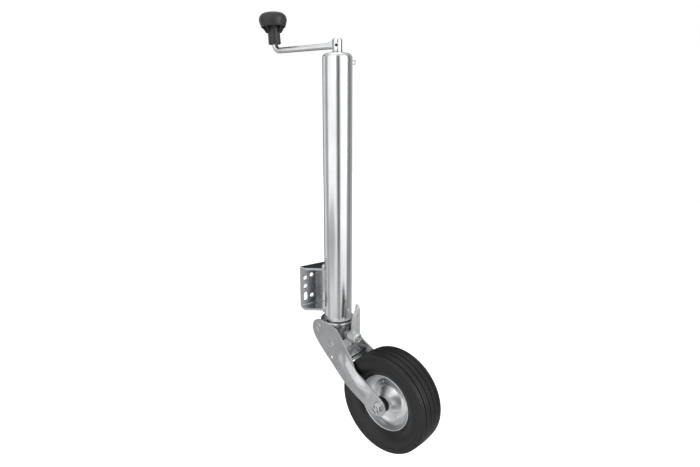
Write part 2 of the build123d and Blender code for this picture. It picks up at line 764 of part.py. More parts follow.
# Fork: two handed arms, tied by the bridge, the rods and the axle
fork_arm_near = fork_arm("fork_arm_near", 1)
fork_arm_far = fork_arm("fork_arm_far", -1)
fork_pivot_pin = cross_bar("fork_pivot_pin", pivot_s, pivot_h, pivot_radius, cheek_outside + 1, 0.8)
stop_bar = cross_bar("stop_bar", stop_s, stop_h, stop_radius, cheek_outside)
fork_cross_rod = cross_bar("fork_cross_rod", rod_s, rod_h, cross_rod_radius, rod_half)

# Bridge: a folded strip that keeps clear of the tyre
bridge_angle = 151.4
bridge_dir = Vector(cos(radians(bridge_angle)), sin(radians(bridge_angle)), 0)
bridge_low = Vector(axle_s, axle_h, 0) + bridge_dir * (wheel_radius + tyre_gap)
bridge_rise = 18.0
bridge_run = 20.0
bridge_lip = 6.0
with BuildPart() as fork_bridge:
    with BuildSketch(side_plane(0)):
        with BuildLine() as bridge_line:
            Polyline((bridge_low.X - bridge_run - bridge_lip, bridge_low.Y + bridge_rise - 2),
                     (bridge_low.X - bridge_run, bridge_low.Y + bridge_rise),
                     (bridge_low.X, bridge_low.Y))
        trace(bridge_line.line, line_width=bridge_sheet)
    extrude(amount=arm_reach, both=True)
    for direction in (1, -1):
        beyond = mirrored_flare(direction) * flare_outline(0, arm_reach)
        extrude(beyond, amount=arm_reach, both=True, mode=Mode.SUBTRACT)
fork_bridge.part.label = "fork_bridge"

# Axle bolt, nut, washers and spacers
seat = arm_outside + washer_sheet
with BuildPart() as axle_bolt:
    with BuildSketch(side_plane(-seat - 1)):
        with Locations((axle_s, axle_h)):
            Circle(axle_radius)
    extrude(amount=2 * seat + nut_thickness + 3)
    chamfer(axle_bolt.part.edges().filter_by(GeomType.CIRCLE), length=1)
    with BuildSketch(side_plane(-seat - nut_thickness - 2)):
        with Locations((axle_s, axle_h)):
            RegularPolygon(hexagon_flats / 2, 6, major_radius=False)
    extrude(amount=nut_thickness + 2)
axle_bolt.part.label = "axle_bolt"

with BuildPart() as axle_nut:
    with BuildSketch(side_plane(seat)):
        with Locations((axle_s, axle_h)):
            RegularPolygon(hexagon_flats / 2, 6, major_radius=False, rotation=15)
            Circle(axle_radius, mode=Mode.SUBTRACT)
    extrude(amount=nut_thickness)
axle_nut.part.label = "axle_nut"


axle_washers = axle_rings("axle_washers", (arm_outside, -seat), washer_radius, axle_radius,
                          washer_sheet)
axle_spacers = axle_rings("axle_spacers", (arm_inside - spacer_sheet, -arm_inside), spacer_radius,
                          axle_radius, spacer_sheet)

# Tyre: solid rubber with four shallow tread grooves
rim_curve_mid = (57.6, 7.5)
rim_curve_end = (60.0, lip_lateral - 1.5)
groove_depth = 1.3
groove_half = 1.0
with BuildPart() as tyre:
    with BuildSketch(wheel_plane):
        with BuildLine():
            ThreePointArc((rim_curve_end[0], -rim_curve_end[1]), (rim_curve_mid[0], -rim_curve_mid[1]),
                          (well_radius, 0))
            ThreePointArc((well_radius, 0), rim_curve_mid, rim_curve_end)
            Polyline(rim_curve_end, (lip_radius + 0.3, rim_curve_end[1]))
            for side in (1, -1):
                ThreePointArc((lip_radius + 0.3, side * rim_curve_end[1]), (76, side * 30.2),
                              (92, side * wheel_half_width))
                RadiusArc((wheel_radius - tread_drop - 3.5, side * wheel_half_width),
                          (wheel_radius - tread_drop, side * tread_half), side * -4.5)
                Line((92, side * wheel_half_width),
                     (wheel_radius - tread_drop - 3.5, side * wheel_half_width))
            ThreePointArc((wheel_radius - tread_drop, tread_half), (wheel_radius, 0),
                          (wheel_radius - tread_drop, -tread_half))
            Line((lip_radius + 0.3, -rim_curve_end[1]), (rim_curve_end[0], -rim_curve_end[1]))
        make_face()
    revolve(axis=axle_axis)
    with BuildSketch(wheel_plane):
        with Locations((wheel_radius, 7), (wheel_radius, -7), (wheel_radius, 21), (wheel_radius, -21)):
            Rectangle(2 * groove_depth + 1.2, 2 * groove_half)
    revolve(axis=axle_axis, mode=Mode.SUBTRACT)
tyre.part.label = "tyre"


def rivet_pattern(lateral, radius):
    """Circles of the rivets on a plane across the axle."""
    with BuildSketch(side_plane(lateral)) as pattern:
        with Locations((axle_s, axle_h)):
            with PolarLocations(rivet_circle, rivet_count, start_angle=30):
                Circle(radius)
    return pattern.sketch


def rim_half(label, side):
    """One pressed half of the rim, from its web at the middle to the rolled lip."""
    with BuildPart() as half:
        with BuildSketch(wheel_plane):
            with BuildLine():
                ThreePointArc((well_radius, 0), (rim_curve_mid[0], side * rim_curve_mid[1]),
                              (rim_curve_end[0], side * rim_curve_end[1]))
                Polyline((rim_curve_end[0], side * rim_curve_end[1]),
                         (lip_radius, side * rim_curve_end[1]), (lip_radius, side * (lip_lateral - 0.3)),
                         (lip_radius - 0.8, side * lip_lateral), (59.2, side * lip_lateral),
                         (rim_curve_end[0] - rim_sheet, side * (rim_curve_end[1] + 0.4)))
                ThreePointArc((rim_curve_end[0] - rim_sheet, side * (rim_curve_end[1] + 0.4)),
                              (rim_curve_mid[0] - 1.2, side * (rim_curve_mid[1] + 1.0)),
                              (well_radius - 1.5, side * rim_sheet))
                Polyline((well_radius - 1.5, side * rim_sheet), (cone_foot_radius, side * rim_sheet),
                         (cone_foot_radius, 0), (well_radius, 0))
            make_face()
        revolve(axis=axle_axis)
        extrude(rivet_pattern(-8, rivet_radius), amount=16, mode=Mode.SUBTRACT)
    half.part.label = label
    return half


rim_near = rim_half("rim_near", 1)
rim_far = rim_half("rim_far", -1)


def hub_cup(label, side):
    """Pressed cup on the web: a ring, a cone that stands out and a short neck."""
    face = 2 * rim_sheet
    with BuildPart() as cup:
        with BuildSketch(wheel_plane):
            with BuildLine():
                Polyline((cone_foot_radius, side * rim_sheet), (cup_disc_radius, side * rim_sheet),
                         (cup_disc_radius, side * face), (cone_foot_radius - 0.5, side * face))
                ThreePointArc((cone_foot_radius - 0.5, side * face), (24.8, side * 8.5),
                              (hub_cup_radius, side * (hub_cup_end - 6)))
                Polyline((hub_cup_radius, side * (hub_cup_end - 6)), (hub_cup_radius, side * hub_cup_end),
                         (hub_cup_radius - rim_sheet, side * hub_cup_end),
                         (hub_cup_radius - rim_sheet, side * (hub_cup_end - 6)))
                ThreePointArc((hub_cup_radius - rim_sheet, side * (hub_cup_end - 6)),
                              (24, side * 7.2), (cone_foot_radius, side * rim_sheet))
            make_face()
        revolve(axis=axle_axis)
        extrude(rivet_pattern(-8, rivet_radius), amount=16, mode=Mode.SUBTRACT)
    cup.part.label = label
    return cup


hub_cup_near = hub_cup("hub_cup_near", 1)
hub_cup_far = hub_cup("hub_cup_far", -1)

rivet_end = 2 * rim_sheet
with BuildPart() as rim_rivets:
    extrude(rivet_pattern(-rivet_end, rivet_radius), amount=2 * rivet_end)
    extrude(rivet_pattern(rivet_end, rivet_head_radius), amount=rivet_head)
    extrude(rivet_pattern(-rivet_end - rivet_head, rivet_head_radius), amount=rivet_head)
rim_rivets.part.label = "rim_rivets"


def hub_bush(label, side):
    """Plastic bush pressed into the cup's neck, with a spigot that meets the spacer."""
    tip = arm_inside - spacer_sheet - free_gap
    shell = hub_cup_radius - rim_sheet
    with BuildPart() as bush:
        with BuildSketch(wheel_plane):
            with BuildLine():
                Polyline((axle_radius + running_fit, side * 1), (shell - 5, side * 1),
                         (shell - 5, side * 9), (shell, side * (hub_cup_end - 6)),
                         (shell, side * (hub_cup_end - 1)), (spacer_radius, side * (hub_cup_end - 1)),
                         (spacer_radius, side * tip), (axle_radius + running_fit, side * tip),
                         (axle_radius + running_fit, side * 1))
            make_face()
        revolve(axis=axle_axis)
    bush.part.label = label
    return bush


hub_bush_near = hub_bush("hub_bush_near", 1)
hub_bush_far = hub_bush("hub_bush_far", -1)

# One STEP file for each named sub-part
os.makedirs("parts", exist_ok=True)
for builder in (outer_tube, mounting_bracket, bracket_welds, wire_eye, bearing_upper_race,
                bearing_lower_race, bearing_balls, spindle, crank_hub, crank_pin, crank_arm,
                knob_clip, crank_knob, guide_bush, inner_tube, spindle_nut, collar_cup, column_head,
                latch_pin, latch_lever, latch_spring, fork_arm_near, fork_arm_far, fork_pivot_pin,
                stop_bar, fork_cross_rod, fork_bridge, axle_bolt, axle_nut, axle_washers,
                axle_spacers, tyre, rim_near, rim_far, hub_cup_near, hub_cup_far, rim_rivets,
                hub_bush_near, hub_bush_far):
    export_step(builder.part, "parts/" + builder.part.label + ".step")
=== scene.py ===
"""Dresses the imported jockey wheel: zinc plated mast, fork and latch, black knob and solid rubber wheel."""
import json
import logging
from dataclasses import dataclass, field
from enum import Enum
from math import cos, pi, radians, sin

import bmesh
import bpy
import numpy as np
from mathutils import Matrix, Vector
from mathutils.geometry import delaunay_2d_cdt


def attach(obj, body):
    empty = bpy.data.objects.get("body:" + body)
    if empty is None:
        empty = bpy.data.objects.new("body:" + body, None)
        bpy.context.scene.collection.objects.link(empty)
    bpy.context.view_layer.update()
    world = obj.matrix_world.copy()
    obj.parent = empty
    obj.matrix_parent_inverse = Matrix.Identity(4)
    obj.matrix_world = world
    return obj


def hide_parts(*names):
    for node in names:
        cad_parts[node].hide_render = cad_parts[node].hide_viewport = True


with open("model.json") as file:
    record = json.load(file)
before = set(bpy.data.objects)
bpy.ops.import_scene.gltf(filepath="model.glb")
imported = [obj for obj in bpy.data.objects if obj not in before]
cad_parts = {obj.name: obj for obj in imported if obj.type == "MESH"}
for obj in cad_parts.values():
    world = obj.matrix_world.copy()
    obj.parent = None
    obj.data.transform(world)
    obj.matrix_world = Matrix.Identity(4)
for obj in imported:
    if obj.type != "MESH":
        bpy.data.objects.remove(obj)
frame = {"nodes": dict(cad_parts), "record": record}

LOG = logging.getLogger("jockey_wheel")
MM = 0.001
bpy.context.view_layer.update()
# The lower unit's turn from straight back, its trail, its near side, and the column's foot in millimetres
SWIVEL = radians(13)
TRAIL = np.array([sin(SWIVEL), -cos(SWIVEL), 0.0])
NEAR = np.array([-cos(SWIVEL), -sin(SWIVEL), 0.0])
FOOT = np.array([0.0, -65.0, -66.0])

Pair = tuple[float, float]
Triple = tuple[float, float, float]
Shell = tuple[np.ndarray, np.ndarray]
Surface = tuple[np.ndarray, np.ndarray, np.ndarray]


class Side(Enum):
    """The two sides of the fork, by the sign of their lateral distance."""

    NEAR = 1
    FAR = -1


@dataclass(frozen=True)
class Layout:
    """Places that several pieces share, as (s, h) in millimetres, and how far out the arms' cheeks are."""

    axle: Pair = (152.0, -141.5)
    pivot: Pair = (-36.0, -26.0)
    stop: Pair = (2.9, -53.3)
    cheek: float = 27.8


LAYOUT = Layout()


def hex_linear(code: str) -> tuple[float, float, float, float]:
    """Turns an sRGB hex colour into linear light.

    Args:
        code: Six hex digits.

    Returns:
        Linear red, green, blue and an alpha of one.
    """
    parts = [int(code[i:i + 2], 16) / 255 for i in (0, 2, 4)]
    linear = [p / 12.92 if p <= 0.04045 else ((p + 0.055) / 1.055) ** 2.4 for p in parts]
    return (linear[0], linear[1], linear[2], 1.0)


def add_node(tree: bpy.types.NodeTree, kind: str, values: dict | None = None,
             links: dict | None = None, **settings: object) -> bpy.types.Node:
    """Adds one shader node with its settings, values and links.

    Args:
        tree: The node tree that gets the node.
        kind: Blender's type name of the node.
        values: Input socket name or index to constant.
        links: Input socket name or index to the output socket that feeds it.
        settings: Properties of the node itself.

    Returns:
        The new node.
    """
    node = tree.nodes.new(kind)
    for name, value in settings.items():
        setattr(node, name, value)
    for key, value in (values or {}).items():
        node.inputs[key].default_value = value
    for key, socket in (links or {}).items():
        tree.links.new(socket, node.inputs[key])
    return node


@dataclass(frozen=True)
class Finish:
    """A surface finish: two close tones in soft patches, and a fine grain that also lifts the surface.

    Sizes are in millimetres. Patches give the slow change of tone, and grain the fine one. The grain is
    drawn coarser than the real one where that is too fine to show. Of the grain, grain_share joins the
    patches, and one tone turns to the other between the two values of tone_turn. The roughness runs
    through its spread while the grain runs through grain_span.
    """

    name: str
    tone: str
    second_tone: str
    metallic: float = 0.0
    roughness: float = 0.5
    roughness_spread: float = 0.08
    patch_mm: float = 30.0
    grain_mm: float = 1.5
    grain_stretch: Triple = (1.0, 1.0, 1.0)
    bump_mm: float = 0.02
    grain_share: float = 0.35
    tone_turn: Pair = (0.45, 0.90)
    grain_span: Pair = (0.3, 0.7)

    def material(self) -> bpy.types.Material:
        """Builds the finish once and hands out the same one afterwards.

        The tone is blend(tone, second, (patches + share * grain - from) / (to - from)), the roughness
        follows the grain by its spread, and the grain is the bump's height.

        Returns:
            The material.
        """
        known = bpy.data.materials.get(self.name)
        if known is not None:
            return known
        made = bpy.data.materials.new(self.name)
        made.use_nodes = True
        tree = made.node_tree
        shader = tree.nodes["Principled BSDF"]
        place = add_node(tree, "ShaderNodeTexCoord").outputs["Object"]
        patches = add_node(tree, "ShaderNodeTexNoise",
                           {"Scale": 1000 / self.patch_mm, "Detail": 3.0, "Roughness": 0.55},
                           {"Vector": place})
        stretched = add_node(tree, "ShaderNodeMapping", {"Scale": self.grain_stretch}, {"Vector": place})
        grain = add_node(tree, "ShaderNodeTexNoise",
                         {"Scale": 1000 / self.grain_mm, "Detail": 2.0, "Roughness": 0.6},
                         {"Vector": stretched.outputs[0]})
        share = add_node(tree, "ShaderNodeMath", {1: self.grain_share}, {0: grain.outputs[0]},
                         operation="MULTIPLY")
        mixed = add_node(tree, "ShaderNodeMath", {}, {0: patches.outputs[0], 1: share.outputs[0]},
                         operation="ADD")
        spread = add_node(tree, "ShaderNodeMapRange",
                          {"From Min": self.tone_turn[0], "From Max": self.tone_turn[1]},
                          {"Value": mixed.outputs[0]})
        tone = add_node(tree, "ShaderNodeMix", {6: hex_linear(self.tone), 7: hex_linear(self.second_tone)},
                        {0: spread.outputs[0]}, data_type="RGBA")
        rough = add_node(tree, "ShaderNodeMapRange",
                         {"From Min": self.grain_span[0], "From Max": self.grain_span[1],
                          "To Min": self.roughness - self.roughness_spread,
                          "To Max": self.roughness + self.roughness_spread}, {"Value": grain.outputs[0]})
        bump = add_node(tree, "ShaderNodeBump", {"Strength": 0.6, "Distance": self.bump_mm * MM},
                        {"Height": grain.outputs[0]})
        tree.links.new(tone.outputs[2], shader.inputs["Base Color"])
        tree.links.new(rough.outputs[0], shader.inputs["Roughness"])
        tree.links.new(bump.outputs[0], shader.inputs["Normal"])
        shader.inputs["Metallic"].default_value = self.metallic
        return made


# Hot dip zinc over drawn tube: bright and smooth, with slow clouds and faint draw lines along the tube
TUBE_ZINC = Finish("galvanised_drawn_steel", "EFF1F2", "E1E3E5", 1.0, 0.19, 0.03, 60.0, 1.6,
                   (1.0, 1.0, 0.04), 0.006)
# Electroplated zinc on pressed sheet: greyer, satin, with a fine even grain
SHEET_ZINC = Finish("zinc_plated_pressed_steel", "E0E2E3", "D4D6D8", 1.0, 0.23, 0.03, 24.0, 1.2,
                    bump_mm=0.003)
# The bracket's channel: zinc in a darker grey than the rest, which is painted shade for the shade and dark
# reflections on its inner faces
SHADE_PAINTED_CHANNEL_ZINC = Finish("zinc_plated_channel_painted_shade", "C6C8CA", "B6B8BA", 1.0, 0.20, 0.03, 26.0, 1.2,
                      bump_mm=0.003)
# Zinc on the heavy fork sheet: duller, since the thick plate is etched before plating
FORK_ZINC = Finish("zinc_plated_fork_steel", "D6D8D9", "C8CACC", 0.85, 0.28, 0.03, 22.0, 1.4,
                   bump_mm=0.003)
# Sand cast steel under zinc: pebbled skin that scatters the light
CAST_ZINC = Finish("zinc_plated_sand_casting", "E6E8E8", "D0D2D2", 0.5, 0.38, 0.08, 9.0, 1.1,
                   bump_mm=0.09)
# The head's casting: the same skin in a darker tone, which is painted shade for the shade it lies in between
# the fork arms
SHADE_PAINTED_CASTING = Finish("sand_casting_painted_shade", "A4A6A7", "8A8C8E", 0.6, 0.42, 0.08, 12.0, 1.2,
                      bump_mm=0.08)
# Turned steel pins, bars and bolts: bright and even, with tool rings too fine to show
TURNED_STEEL = Finish("turned_bright_steel", "DADCDD", "C8CACB", 1.0, 0.24, 0.05, 12.0, 0.8,
                      bump_mm=0.01)
# Rim sheet, the brightest zinc of all, spun smooth
RIM_ZINC = Finish("zinc_plated_rim_steel", "E6E8E9", "DADCDE", 1.0, 0.31, 0.03, 24.0, 1.4,
                  bump_mm=0.003)
# Weld metal under zinc: bright and lumpy
WELD_ZINC = Finish("zinc_plated_weld_metal", "EEEFEF", "D0D2D3", 0.7, 0.34, 0.08, 4.0, 2.0, bump_mm=0.25)
# Ground bearing steel, hidden in the mast: a darker, near mirror surface
RACE_STEEL = Finish("ground_bearing_steel", "A3A6AA", "8C8F93", 1.0, 0.2, 0.04, 10.0, 0.8, bump_mm=0.004)
# Machined brass of the spindle's nut, hidden in the mast: warm and satin
NUT_BRASS = Finish("machined_brass", "B59A5A", "9E8448", 1.0, 0.32, 0.05, 12.0, 0.9, bump_mm=0.01)
# Moulded black polypropylene with a fine spark eroded grain
MOULDED_BLACK = Finish("moulded_black_polypropylene", "3D3D3F", "353537", 0.0, 0.40, 0.05, 14.0, 0.7,
                       bump_mm=0.03)
# Spring steel of the crank's pin: dark and dull from its phosphate bath
PHOSPHATED_STEEL = Finish("phosphated_spring_steel", "3A3A3B", "2E2E2F", 0.6, 0.5, 0.06, 6.0, 0.7,
                          bump_mm=0.01)
# Moulded acetal bush in the mast's foot: milky, with a low gloss
ACETAL = Finish("moulded_white_acetal", "DAD9D2", "CFCEC6", 0.0, 0.4, 0.05, 14.0, 0.9, bump_mm=0.01)
# Solid rubber: dull black with a slightly dusty skin
SOLID_RUBBER = Finish("moulded_solid_rubber", "141415", "0F0F10", 0.0, 0.38, 0.07, 26.0, 1.0,
                      bump_mm=0.04)

SLOT_FINISH: dict[str, Finish] = {
    "galvanised_tube": TUBE_ZINC, "zinc_plated_steel": SHEET_ZINC, "weld_zinc": WELD_ZINC,
    "bearing_steel": RACE_STEEL, "bright_steel": TURNED_STEEL, "cast_zinc": CAST_ZINC,
    "galvanised_fork": FORK_ZINC, "rim_steel": RIM_ZINC, "brass_nut": NUT_BRASS,
    "black_plastic": MOULDED_BLACK, "white_plastic": ACETAL, "black_rubber": SOLID_RUBBER,
}


def framed(s: np.ndarray, lateral: np.ndarray, h: np.ndarray) -> np.ndarray:
    """Points in metres: foot + s * trail + lateral * near + h * up, all in millimetres.

    Args:
        s: Distances along the trail.
        lateral: Distances towards the near side.
        h: Heights above the collar's lip.

    Returns:
        One row of x, y, z for each point.
    """
    s, lateral, h = np.broadcast_arrays(s, lateral, h)
    return (FOOT + s[..., None] * TRAIL + lateral[..., None] * NEAR
            + h[..., None] * np.array([0.0, 0.0, 1.0])) * MM


def about(points: np.ndarray, place: Pair) -> np.ndarray:
    """Takes rows of (lateral, s, h) into the frame, round a place (s0, h0)."""
    return framed(place[0] + points[:, 1], points[:, 0], place[1] + points[:, 2])


def arc_points(first: Pair, middle: Pair, last: Pair, count: int) -> np.ndarray:
    """Points on the circle through three points: centre by the perpendicular bisectors, then even angles.

    Args:
        first: Where the arc starts.
        middle: A point on its way.
        last: Where it ends.
        count: How many points.

    Returns:
        One row for each point.
    """
    a, b, c = (np.array(p, float) for p in (first, middle, last))
    sides = 2 * np.array([b - a, c - b])
    centre = np.linalg.solve(sides, [b @ b - a @ a, c @ c - b @ b])
    angles = np.unwrap([np.arctan2(*(p - centre)[::-1]) for p in (a, b, c)])
    around = np.linspace(angles[0], angles[2], count)
    radius = np.linalg.norm(a - centre)
    return centre + radius * np.stack([np.cos(around), np.sin(around)], axis=1)


def closed_spline(points: list[Pair], step: float) -> np.ndarray:
    """Closed cubic through the points, by chord length.

    At each corner the chord before times the last second derivative, twice both chords times its own, and
    the chord after times the next one add up to six times the change of slope.

    Args:
        points: Corners of the loop in order.
        step: Rough distance between samples.

    Returns:
        Samples along the loop, without a repeated last point.
    """
    knots = np.array(points, float)
    ahead = np.roll(knots, -1, axis=0)
    chord = np.linalg.norm(ahead - knots, axis=1)
    before = np.roll(chord, 1)
    size = len(knots)
    system = np.diag(2 * (before + chord))
    index = np.arange(size)
    system[index, (index + 1) % size] += chord
    system[index, (index - 1) % size] += before
    slope = (ahead - knots) / chord[:, None]
    bend = np.linalg.solve(system, 6 * (slope - np.roll(slope, 1, axis=0)))
    along = np.concatenate([[0], np.cumsum(chord)])
    samples = np.arange(0, along[-1] - 0.5 * step, step)
    piece = np.clip(np.searchsorted(along, samples, side="right") - 1, 0, size - 1)
    after = (samples - along[piece])[:, None]
    left, right = bend[piece], np.roll(bend, -1, axis=0)[piece]
    span = chord[piece][:, None]
    linear = (ahead[piece] - knots[piece]) / span - span * (2 * left + right) / 6
    return knots[piece] + linear * after + left * after ** 2 / 2 + (right - left) * after ** 3 / (6 * span)


def ring_quads(rows: int, turns: int) -> np.ndarray:
    """Quads of a grid closed both ways: cell (i, j) has the corners (i, j), (i+1, j), (i+1, j+1), (i, j+1).

    Args:
        rows: Rows of the grid.
        turns: Points in each row.

    Returns:
        Quads. The last ones close the last row to the first, and are cut off where it stays open.
    """
    i, j = np.meshgrid(np.arange(rows), np.arange(turns), indexing="ij")
    k, m = (i + 1) % rows, (j + 1) % turns
    return np.stack([i * turns + j, k * turns + j, k * turns + m, i * turns + m], axis=-1).reshape(-1, 4)


def lathed(profile: np.ndarray, turns: int, bend: np.ndarray | None = None) -> Shell:
    """Closed section turned about an axis: (a, r cos t, r sin t), where bend may scale r for each point.

    Args:
        profile: Rows of distance along the axis and radius, round a closed section.
        turns: Steps round the axis.
        bend: Factor of the radius for each row and step.

    Returns:
        Rows of distance along the axis and the two cross distances, and quads.
    """
    angle = np.arange(turns) * 2 * pi / turns
    radius = profile[:, 1][:, None] * (np.ones((len(profile), turns)) if bend is None else bend)
    grid = np.stack([np.broadcast_to(profile[:, 0][:, None], radius.shape), radius * np.cos(angle),
                     radius * np.sin(angle)], axis=-1)
    return grid.reshape(-1, 3), ring_quads(len(profile), turns)


def swept(path: np.ndarray, radius: np.ndarray, sides: int) -> Shell:
    """Round bar along a flat path: p + r (cos t * n + sin t * b), n square to the path and b to its plane.

    Args:
        path: Rows of two distances in the path's plane.
        radius: Radius at each row, zero at both ends to close them.
        sides: Steps round the bar.

    Returns:
        Rows of the two distances and the one square to the plane, and quads.
    """
    ahead = np.gradient(path, axis=0)
    ahead /= np.linalg.norm(ahead, axis=1)[:, None]
    angle = np.arange(sides) * 2 * pi / sides
    flat = radius[:, None] * np.cos(angle)
    grid = np.stack([path[:, 0][:, None] - ahead[:, 1][:, None] * flat,
                     path[:, 1][:, None] + ahead[:, 0][:, None] * flat,
                     radius[:, None] * np.sin(angle)], axis=-1)
    return grid.reshape(-1, 3), ring_quads(len(path), sides)[:-sides]


def halved(quads: np.ndarray) -> np.ndarray:
    """Both triangles of each quad."""
    return np.concatenate([quads[:, [0, 1, 2]], quads[:, [0, 2, 3]]])


def signed_volume(points: np.ndarray, cells: np.ndarray) -> float:
    """Volume inside closed triangles, the sum of a . (b x c) / 6, which is negative where they point in."""
    corner = points[cells] - points.mean(axis=0)
    return np.einsum("ij,ij->i", corner[:, 0], np.cross(corner[:, 1], corner[:, 2])).sum() / 6


def joined(parts: list[Shell]) -> Surface:
    """Puts closed quad shells together, each turned outwards first by the sign of its volume.

    Args:
        parts: Points and quads of each shell.

    Returns:
        Points, quads and an empty array of triangles.
    """
    points, quads, size = [], [], 0
    for shell, faces in parts:
        inward = signed_volume(shell, halved(faces)) < 0
        points.append(shell)
        quads.append((faces[:, ::-1] if inward else faces) + size)
        size += len(shell)
    return np.concatenate(points), np.concatenate(quads), np.zeros((0, 3), int)


def prism(outline: list[Pair], ends: Pair) -> Shell:
    """Bar of an outline between two distances, whose ends are quads from its left side to its right.

    Args:
        outline: Corners, the left side going up first and then the right coming down, equal in number.
        ends: The two distances along the bar.

    Returns:
        Rows of distance along the bar and the outline's two distances, and quads.
    """
    left = np.array(outline[:len(outline) // 2], float)
    right = np.array(outline[len(outline) // 2:], float)[::-1]
    rows = len(left)
    corners = np.stack([left, right], axis=1).reshape(-1, 2)
    points = np.concatenate([np.column_stack([np.full(2 * rows, end), corners]) for end in ends])
    k = np.arange(rows - 1) * 2
    face = np.stack([k, k + 2, k + 3, k + 1], axis=1)
    back = face[:, ::-1] + 2 * rows
    one = np.stack([k, k + 2 * rows, k + 2 + 2 * rows, k + 2], axis=1)
    two = np.stack([k + 1, k + 3, k + 3 + 2 * rows, k + 1 + 2 * rows], axis=1)
    low = np.array([[0, 1, 1 + 2 * rows, 2 * rows]])
    top = np.array([[2 * rows - 2, 4 * rows - 2, 4 * rows - 1, 2 * rows - 1]])
    return points, np.concatenate([face, back, one, two, low, top])


def plate_cells(outline: np.ndarray, holes: list[Triple], step: float) -> Shell:
    """Triangles of a flat plate: a staggered grid kept inside the outline and outside the holes.

    A grid point is inside where a level line from it crosses the outline an odd number of times. The rows
    stand apart by the height of a triangle, and a point too near a rim is left out.

    Args:
        outline: Closed loop of the plate.
        holes: Centre and radius of each round hole.
        step: Size of the cells.

    Returns:
        Points of the plate and triangles, all turned one way.
    """
    row_gap, rim_gap, fewest_round_hole = 0.87 * step, 0.6 * step, 16
    low, high = outline.min(axis=0), outline.max(axis=0)
    across, rise = np.meshgrid(np.arange(low[0], high[0], step), np.arange(low[1], high[1], row_gap))
    across = across + (np.arange(across.shape[0]) % 2)[:, None] * step / 2
    grid = np.stack([across.ravel(), rise.ravel()], axis=1)
    ahead = np.roll(outline, -1, axis=0)
    level = (outline[:, 1] > grid[:, 1:2]) != (ahead[:, 1] > grid[:, 1:2])
    drop = np.where(ahead[:, 1] == outline[:, 1], 1e-9, ahead[:, 1] - outline[:, 1])
    cut = outline[:, 0] + (grid[:, 1:2] - outline[:, 1]) * (ahead[:, 0] - outline[:, 0]) / drop
    inside = (level & (grid[:, :1] < cut)).sum(axis=1) % 2 == 1
    loops = [outline]
    for s, h, radius in holes:
        count = max(int(2 * pi * radius / step), fewest_round_hole)
        turn = np.arange(count) * 2 * pi / count
        loops.append(np.stack([s + radius * np.cos(turn), h + radius * np.sin(turn)], axis=1))
        inside &= np.hypot(grid[:, 0] - s, grid[:, 1] - h) > radius
    rims = np.concatenate(loops)
    kept = grid[inside]
    gap = np.sqrt(((kept[:, None, :] - rims[None]) ** 2).sum(axis=2)).min(axis=1)
    points = np.concatenate([rims, kept[gap > rim_gap]])
    starts = np.cumsum([0] + [len(loop) for loop in loops])
    rim_edges = np.concatenate([np.stack([first + np.arange(last - first),
                                          first + (np.arange(last - first) + 1) % (last - first)], axis=1)
                                for first, last in zip(starts[:-1], starts[1:])])
    found = delaunay_2d_cdt([Vector(p) for p in points.tolist()], rim_edges.tolist(), [], 1, 1e-6)
    flat = np.array([tuple(v) for v in found[0]])
    cells = np.array(found[2])
    middle = flat[cells].mean(axis=1)
    for s, h, radius in holes:
        clear = np.hypot(middle[:, 0] - s, middle[:, 1] - h) > radius
        cells, middle = cells[clear], middle[clear]
    return flat, cells


def walled(outer: np.ndarray, inner: np.ndarray, cells: np.ndarray) -> Surface:
    """Closed sheet between two faces: both faces, and a wall along every edge that one cell owns.

    Args:
        outer: Points of the outer face.
        inner: Points of the inner face, in the same order.
        cells: Triangles of the faces.

    Returns:
        Points, wall quads and triangles.
    """
    size = len(outer)
    edges = np.concatenate([cells[:, [0, 1]], cells[:, [1, 2]], cells[:, [2, 0]]])
    rim = edges[~np.isin(edges[:, 0] * size + edges[:, 1], edges[:, 1] * size + edges[:, 0])]
    walls = np.stack([rim[:, 1], rim[:, 0], rim[:, 0] + size, rim[:, 1] + size], axis=1)
    return np.concatenate([outer, inner]), walls, np.concatenate([cells, cells[:, ::-1] + size])


def linked(name: str, data: bpy.types.ID) -> bpy.types.Object:
    """Puts an object that holds a mesh, camera or lamp into the scene, at the origin."""
    made = bpy.data.objects.new(name, data)
    bpy.context.scene.collection.objects.link(made)
    return made


def soften(piece: bpy.types.Object, width_mm: float, crease: float) -> None:
    """Rounds the edges of a piece.

    Args:
        piece: The piece or CAD node.
        width_mm: Width of the rounding.
        crease: Edges sharper than this many degrees are rounded.
    """
    soft = piece.modifiers.new("soft edge", "BEVEL")
    soft.width = width_mm * MM
    soft.segments = 2
    soft.limit_method = "ANGLE"
    soft.angle_limit = radians(crease)


def cast(piece: bpy.types.Object, voxel_mm: float, rounds: int) -> None:
    """Fuses a piece's shells on a fine grid and smooths them, as the corners of a casting are.

    Args:
        piece: The piece.
        voxel_mm: Cell of the grid.
        rounds: How often the surface is smoothed.
    """
    fused = piece.modifiers.new("fused", "REMESH")
    fused.mode = "VOXEL"
    fused.voxel_size = voxel_mm * MM
    fused.use_smooth_shade = True
    worn = piece.modifiers.new("worn", "SMOOTH")
    worn.factor = 0.5
    worn.iterations = rounds


